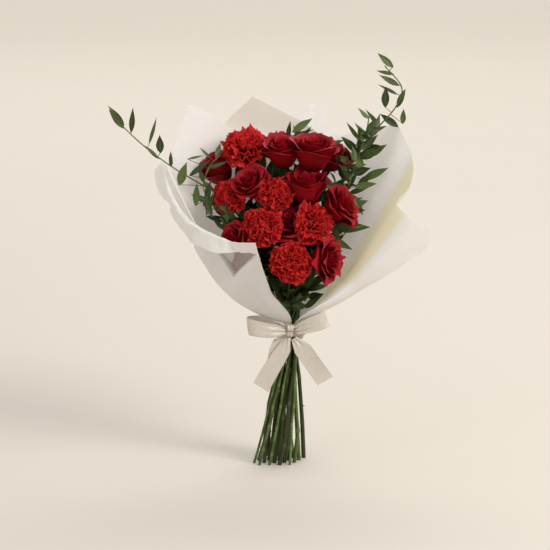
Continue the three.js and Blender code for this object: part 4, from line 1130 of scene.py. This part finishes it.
ribbons = {
    "ribbon_loop_left": {
        "points": [(-8.4, -29, 1), (-28, -37, 3), (-50, -39, 7), (-61, -34, 9), (-57, -28, 10.5),
                   (-34, -25.6, 11), (-8.6, -25.6, 5)],
        "wide": flatTilt(-6), "spread": pinched, "pleats": 3.2},
    "ribbon_loop_right": {
        "points": [(6.6, -29, 3), (24, -36, 10), (42, -38, 17), (51, -33, 21), (47, -28, 21.5),
                   (27, -25.8, 15), (6.8, -25.6, 5)],
        "wide": flatTilt(-18), "spread": pinched, "pleats": 3.2},
    "ribbon_tail_left": {
        "points": [(-6, -30.5, -9.5), (-14, -34, -29), (-28, -36, -53), (-43, -37, -80)],
        "wide": lambda t: (0.9, -0.05 - 0.2 * math.sin(3 * t), 0.2 - 0.75 * t),
        "spread": lambda t: 0.4 + 0.6 * min(t * 4, 1), "pleats": 2.0},
    "ribbon_tail_right": {
        "points": [(4.6, -29.5, -9.5), (17, -31, -26), (33, -30, -49), (49, -27, -73)],
        "wide": lambda t: (0.87, 0.1 - 0.2 * math.sin(3 * t), 0.48),
        "spread": lambda t: 0.35 + 0.65 * min(t * 4, 1), "pleats": 2.0},
    "ribbon_tail_back": {
        "points": [(-14, -24.5, -10.5), (-20, -28.5, -22), (-24, -30.5, -42)],
        "wide": lambda t: (0.97, -0.1, 0.1), "spread": lambda t: 0.8, "pleats": 0.5},
}


def makeSatinPiece(name, grid, shade):
    pile = newPile()
    addSkin(pile, grid, ribbonLook["thickness"], shade, None, 0.0)
    return makePiece(name + "_satin", pile, satin, name)


for name, plan in ribbons.items():
    grid = ribbonStrip(plan)
    piece = makeSatinPiece(name, grid, 0.2)


bandLook = {"radius": 21.7, "height": 18.6, "flat": (19 * mm, 137 * mm)}  # mm, round the gathered paper
knotLook = {"depth": 4.4, "height": 8.6, "halfWidth": 4.9, "at": (-1, -27.2, 1), "flat": (13 * mm, 44 * mm)}


def makeBand():  # the turns of ribbon round the gathered paper
    angle = np.linspace(0, 2 * math.pi, 145)[None]
    height = np.linspace(-0.5, 0.5, 17)[:, None]
    crease = 0.35 * np.sin(2 * math.pi * 3 * height + 2 * np.sin(3 * angle))
    crease = crease + 0.2 * np.sin(9 * angle + 6 * height)
    r = bandLook["radius"] + crease - 0.6 * (2 * height) ** 2
    z = bandLook["height"] * height + 0.5 * np.sin(2 * angle)
    grid = np.stack([r * np.cos(angle), r * np.sin(angle), z], -1) * mm + np.array(tie)
    piece = makeSatinPiece("ribbon_band", grid, 0.3)


def makeKnot():  # a gathered turn of ribbon over the middle of the bow
    turn = np.linspace(0.12, 2 * math.pi - 0.12, 73)[:, None]
    x = np.linspace(-1, 1, 29)[None]
    pleat = 0.75 * np.sin(8 * x + 1.4 * np.sin(turn)) + 0.35 * np.sin(17 * x + 3 * np.cos(turn))
    swell = 1 - 0.16 * x ** 2
    y = -(knotLook["depth"] * swell + pleat * 0.7) * np.cos(turn)
    z = (knotLook["height"] * swell + pleat * 0.5) * np.sin(turn)
    pull = knotLook["halfWidth"] * (1 - 0.14 * np.cos(2 * turn)) * x + 0.9 * np.sin(turn)
    grid = (np.stack([pull, y, z], -1) + np.array(knotLook["at"])) * mm + np.array(tie)
    piece = makeSatinPiece("ribbon_knot", grid, 0.1)


makeBand()
makeKnot()
print("ribbon made")

twine = frame["nodes"]["binding_twine"]  # the CAD node itself shows, under the paper
twine.data.materials.clear()
twine.data.materials.append(twineMaterial())


studio = {
    "floor": "#d3ccc1", "floorClouds": "#cac2b7", "flatTo": 5, "curve": 3,  # metres: where the floor turns up
    "eye": (-0.0058, -3.8549, 1.1008), "lookDown": 12.1, "lens": 180.6, "sensor": 36,
    "room": "#f4f3f2", "roomStrength": 0.78,
}
lights = {  # power, size, place and what it points at, in watts and metres, then its tint
    "keyWindow": (58, (1.3, 1.2), (2.1, -1.5, 2.0), (0, 0, 0.32), "#fffdfa"),
    "fillCard": (15, (2.2, 2.0), (-2.4, -2.2, 1.3), (0, 0, 0.3), "#fffdfa"),
    "backCard": (7, (1.2, 1.0), (0.7, 1.3, 1.9), (0, 0, 0.4), "#fffefc"),
    "groundWash": (120, (6.0, 1.5), (0.2, 3.2, 3.8), (0.2, 4.9, 0), "#fffefc"),
}
scene = bpy.context.scene
scene.view_settings.view_transform = "Standard"


def makeCamera():
    camera = bpy.data.objects.new("camera", bpy.data.cameras.new("camera"))
    scene.collection.objects.link(camera)
    camera.location = studio["eye"]
    camera.rotation_euler = (math.radians(90 - studio["lookDown"]), 0, 0)
    camera.data.lens = studio["lens"]
    camera.data.sensor_width = studio["sensor"]
    scene.camera = camera


def makeLight(name, power, size, at, towards, tint):
    light = bpy.data.lights.new(name, "AREA")
    light.energy = power
    light.shape = "RECTANGLE"
    light.size, light.size_y = size
    light.color = colour(tint)[:3]
    made = bpy.data.objects.new(name, light)
    made.location = at
    made.rotation_euler = (Vector(towards) - Vector(at)).to_track_quat("-Z", "Y").to_euler()
    scene.collection.objects.link(made)


def makeRoom():
    world = bpy.data.worlds.new("studioRoom")
    world.use_nodes = True
    light = world.node_tree.nodes["Background"].inputs
    light["Color"].default_value = colour(studio["room"])
    light["Strength"].default_value = studio["roomStrength"]
    scene.world = world


def makeFloor():  # a round board, flat and then curving up: the same plain ground lies behind from each side
    flat, curve = studio["flatTo"], studio["curve"]
    rim = [(0.02, 0.0), (1.0, 0.0), (3.0, 0.0), (flat, 0.0)]
    for a in np.linspace(0.1, math.pi / 2, 14):
        rim.append((flat + curve * math.sin(a), curve - curve * math.cos(a)))
    turns = np.linspace(0, 2 * math.pi, 97)[:-1]
    count = len(turns)
    points = [(r * math.cos(a), r * math.sin(a), z) for r, z in rim for a in turns]
    faces = [tuple(range(count))]
    for i in range(len(rim) - 1):
        for j in range(count):
            a, b = count * i + j, count * i + (j + 1) % count
            faces.append((a, a + count, b + count, b))
    mesh = bpy.data.meshes.new("studioFloor")
    mesh.from_pydata(points, [], faces)
    mesh.polygons.foreach_set("use_smooth", np.ones(len(mesh.polygons), bool))
    mesh.materials.append(boardMaterial(studio["floor"], studio["floorClouds"]))
    floor = bpy.data.objects.new("studioFloor", mesh)
    scene.collection.objects.link(floor)


makeCamera()
for name, plan in lights.items():
    makeLight(name, *plan)
makeRoom()
makeFloor()
print("studio ready")
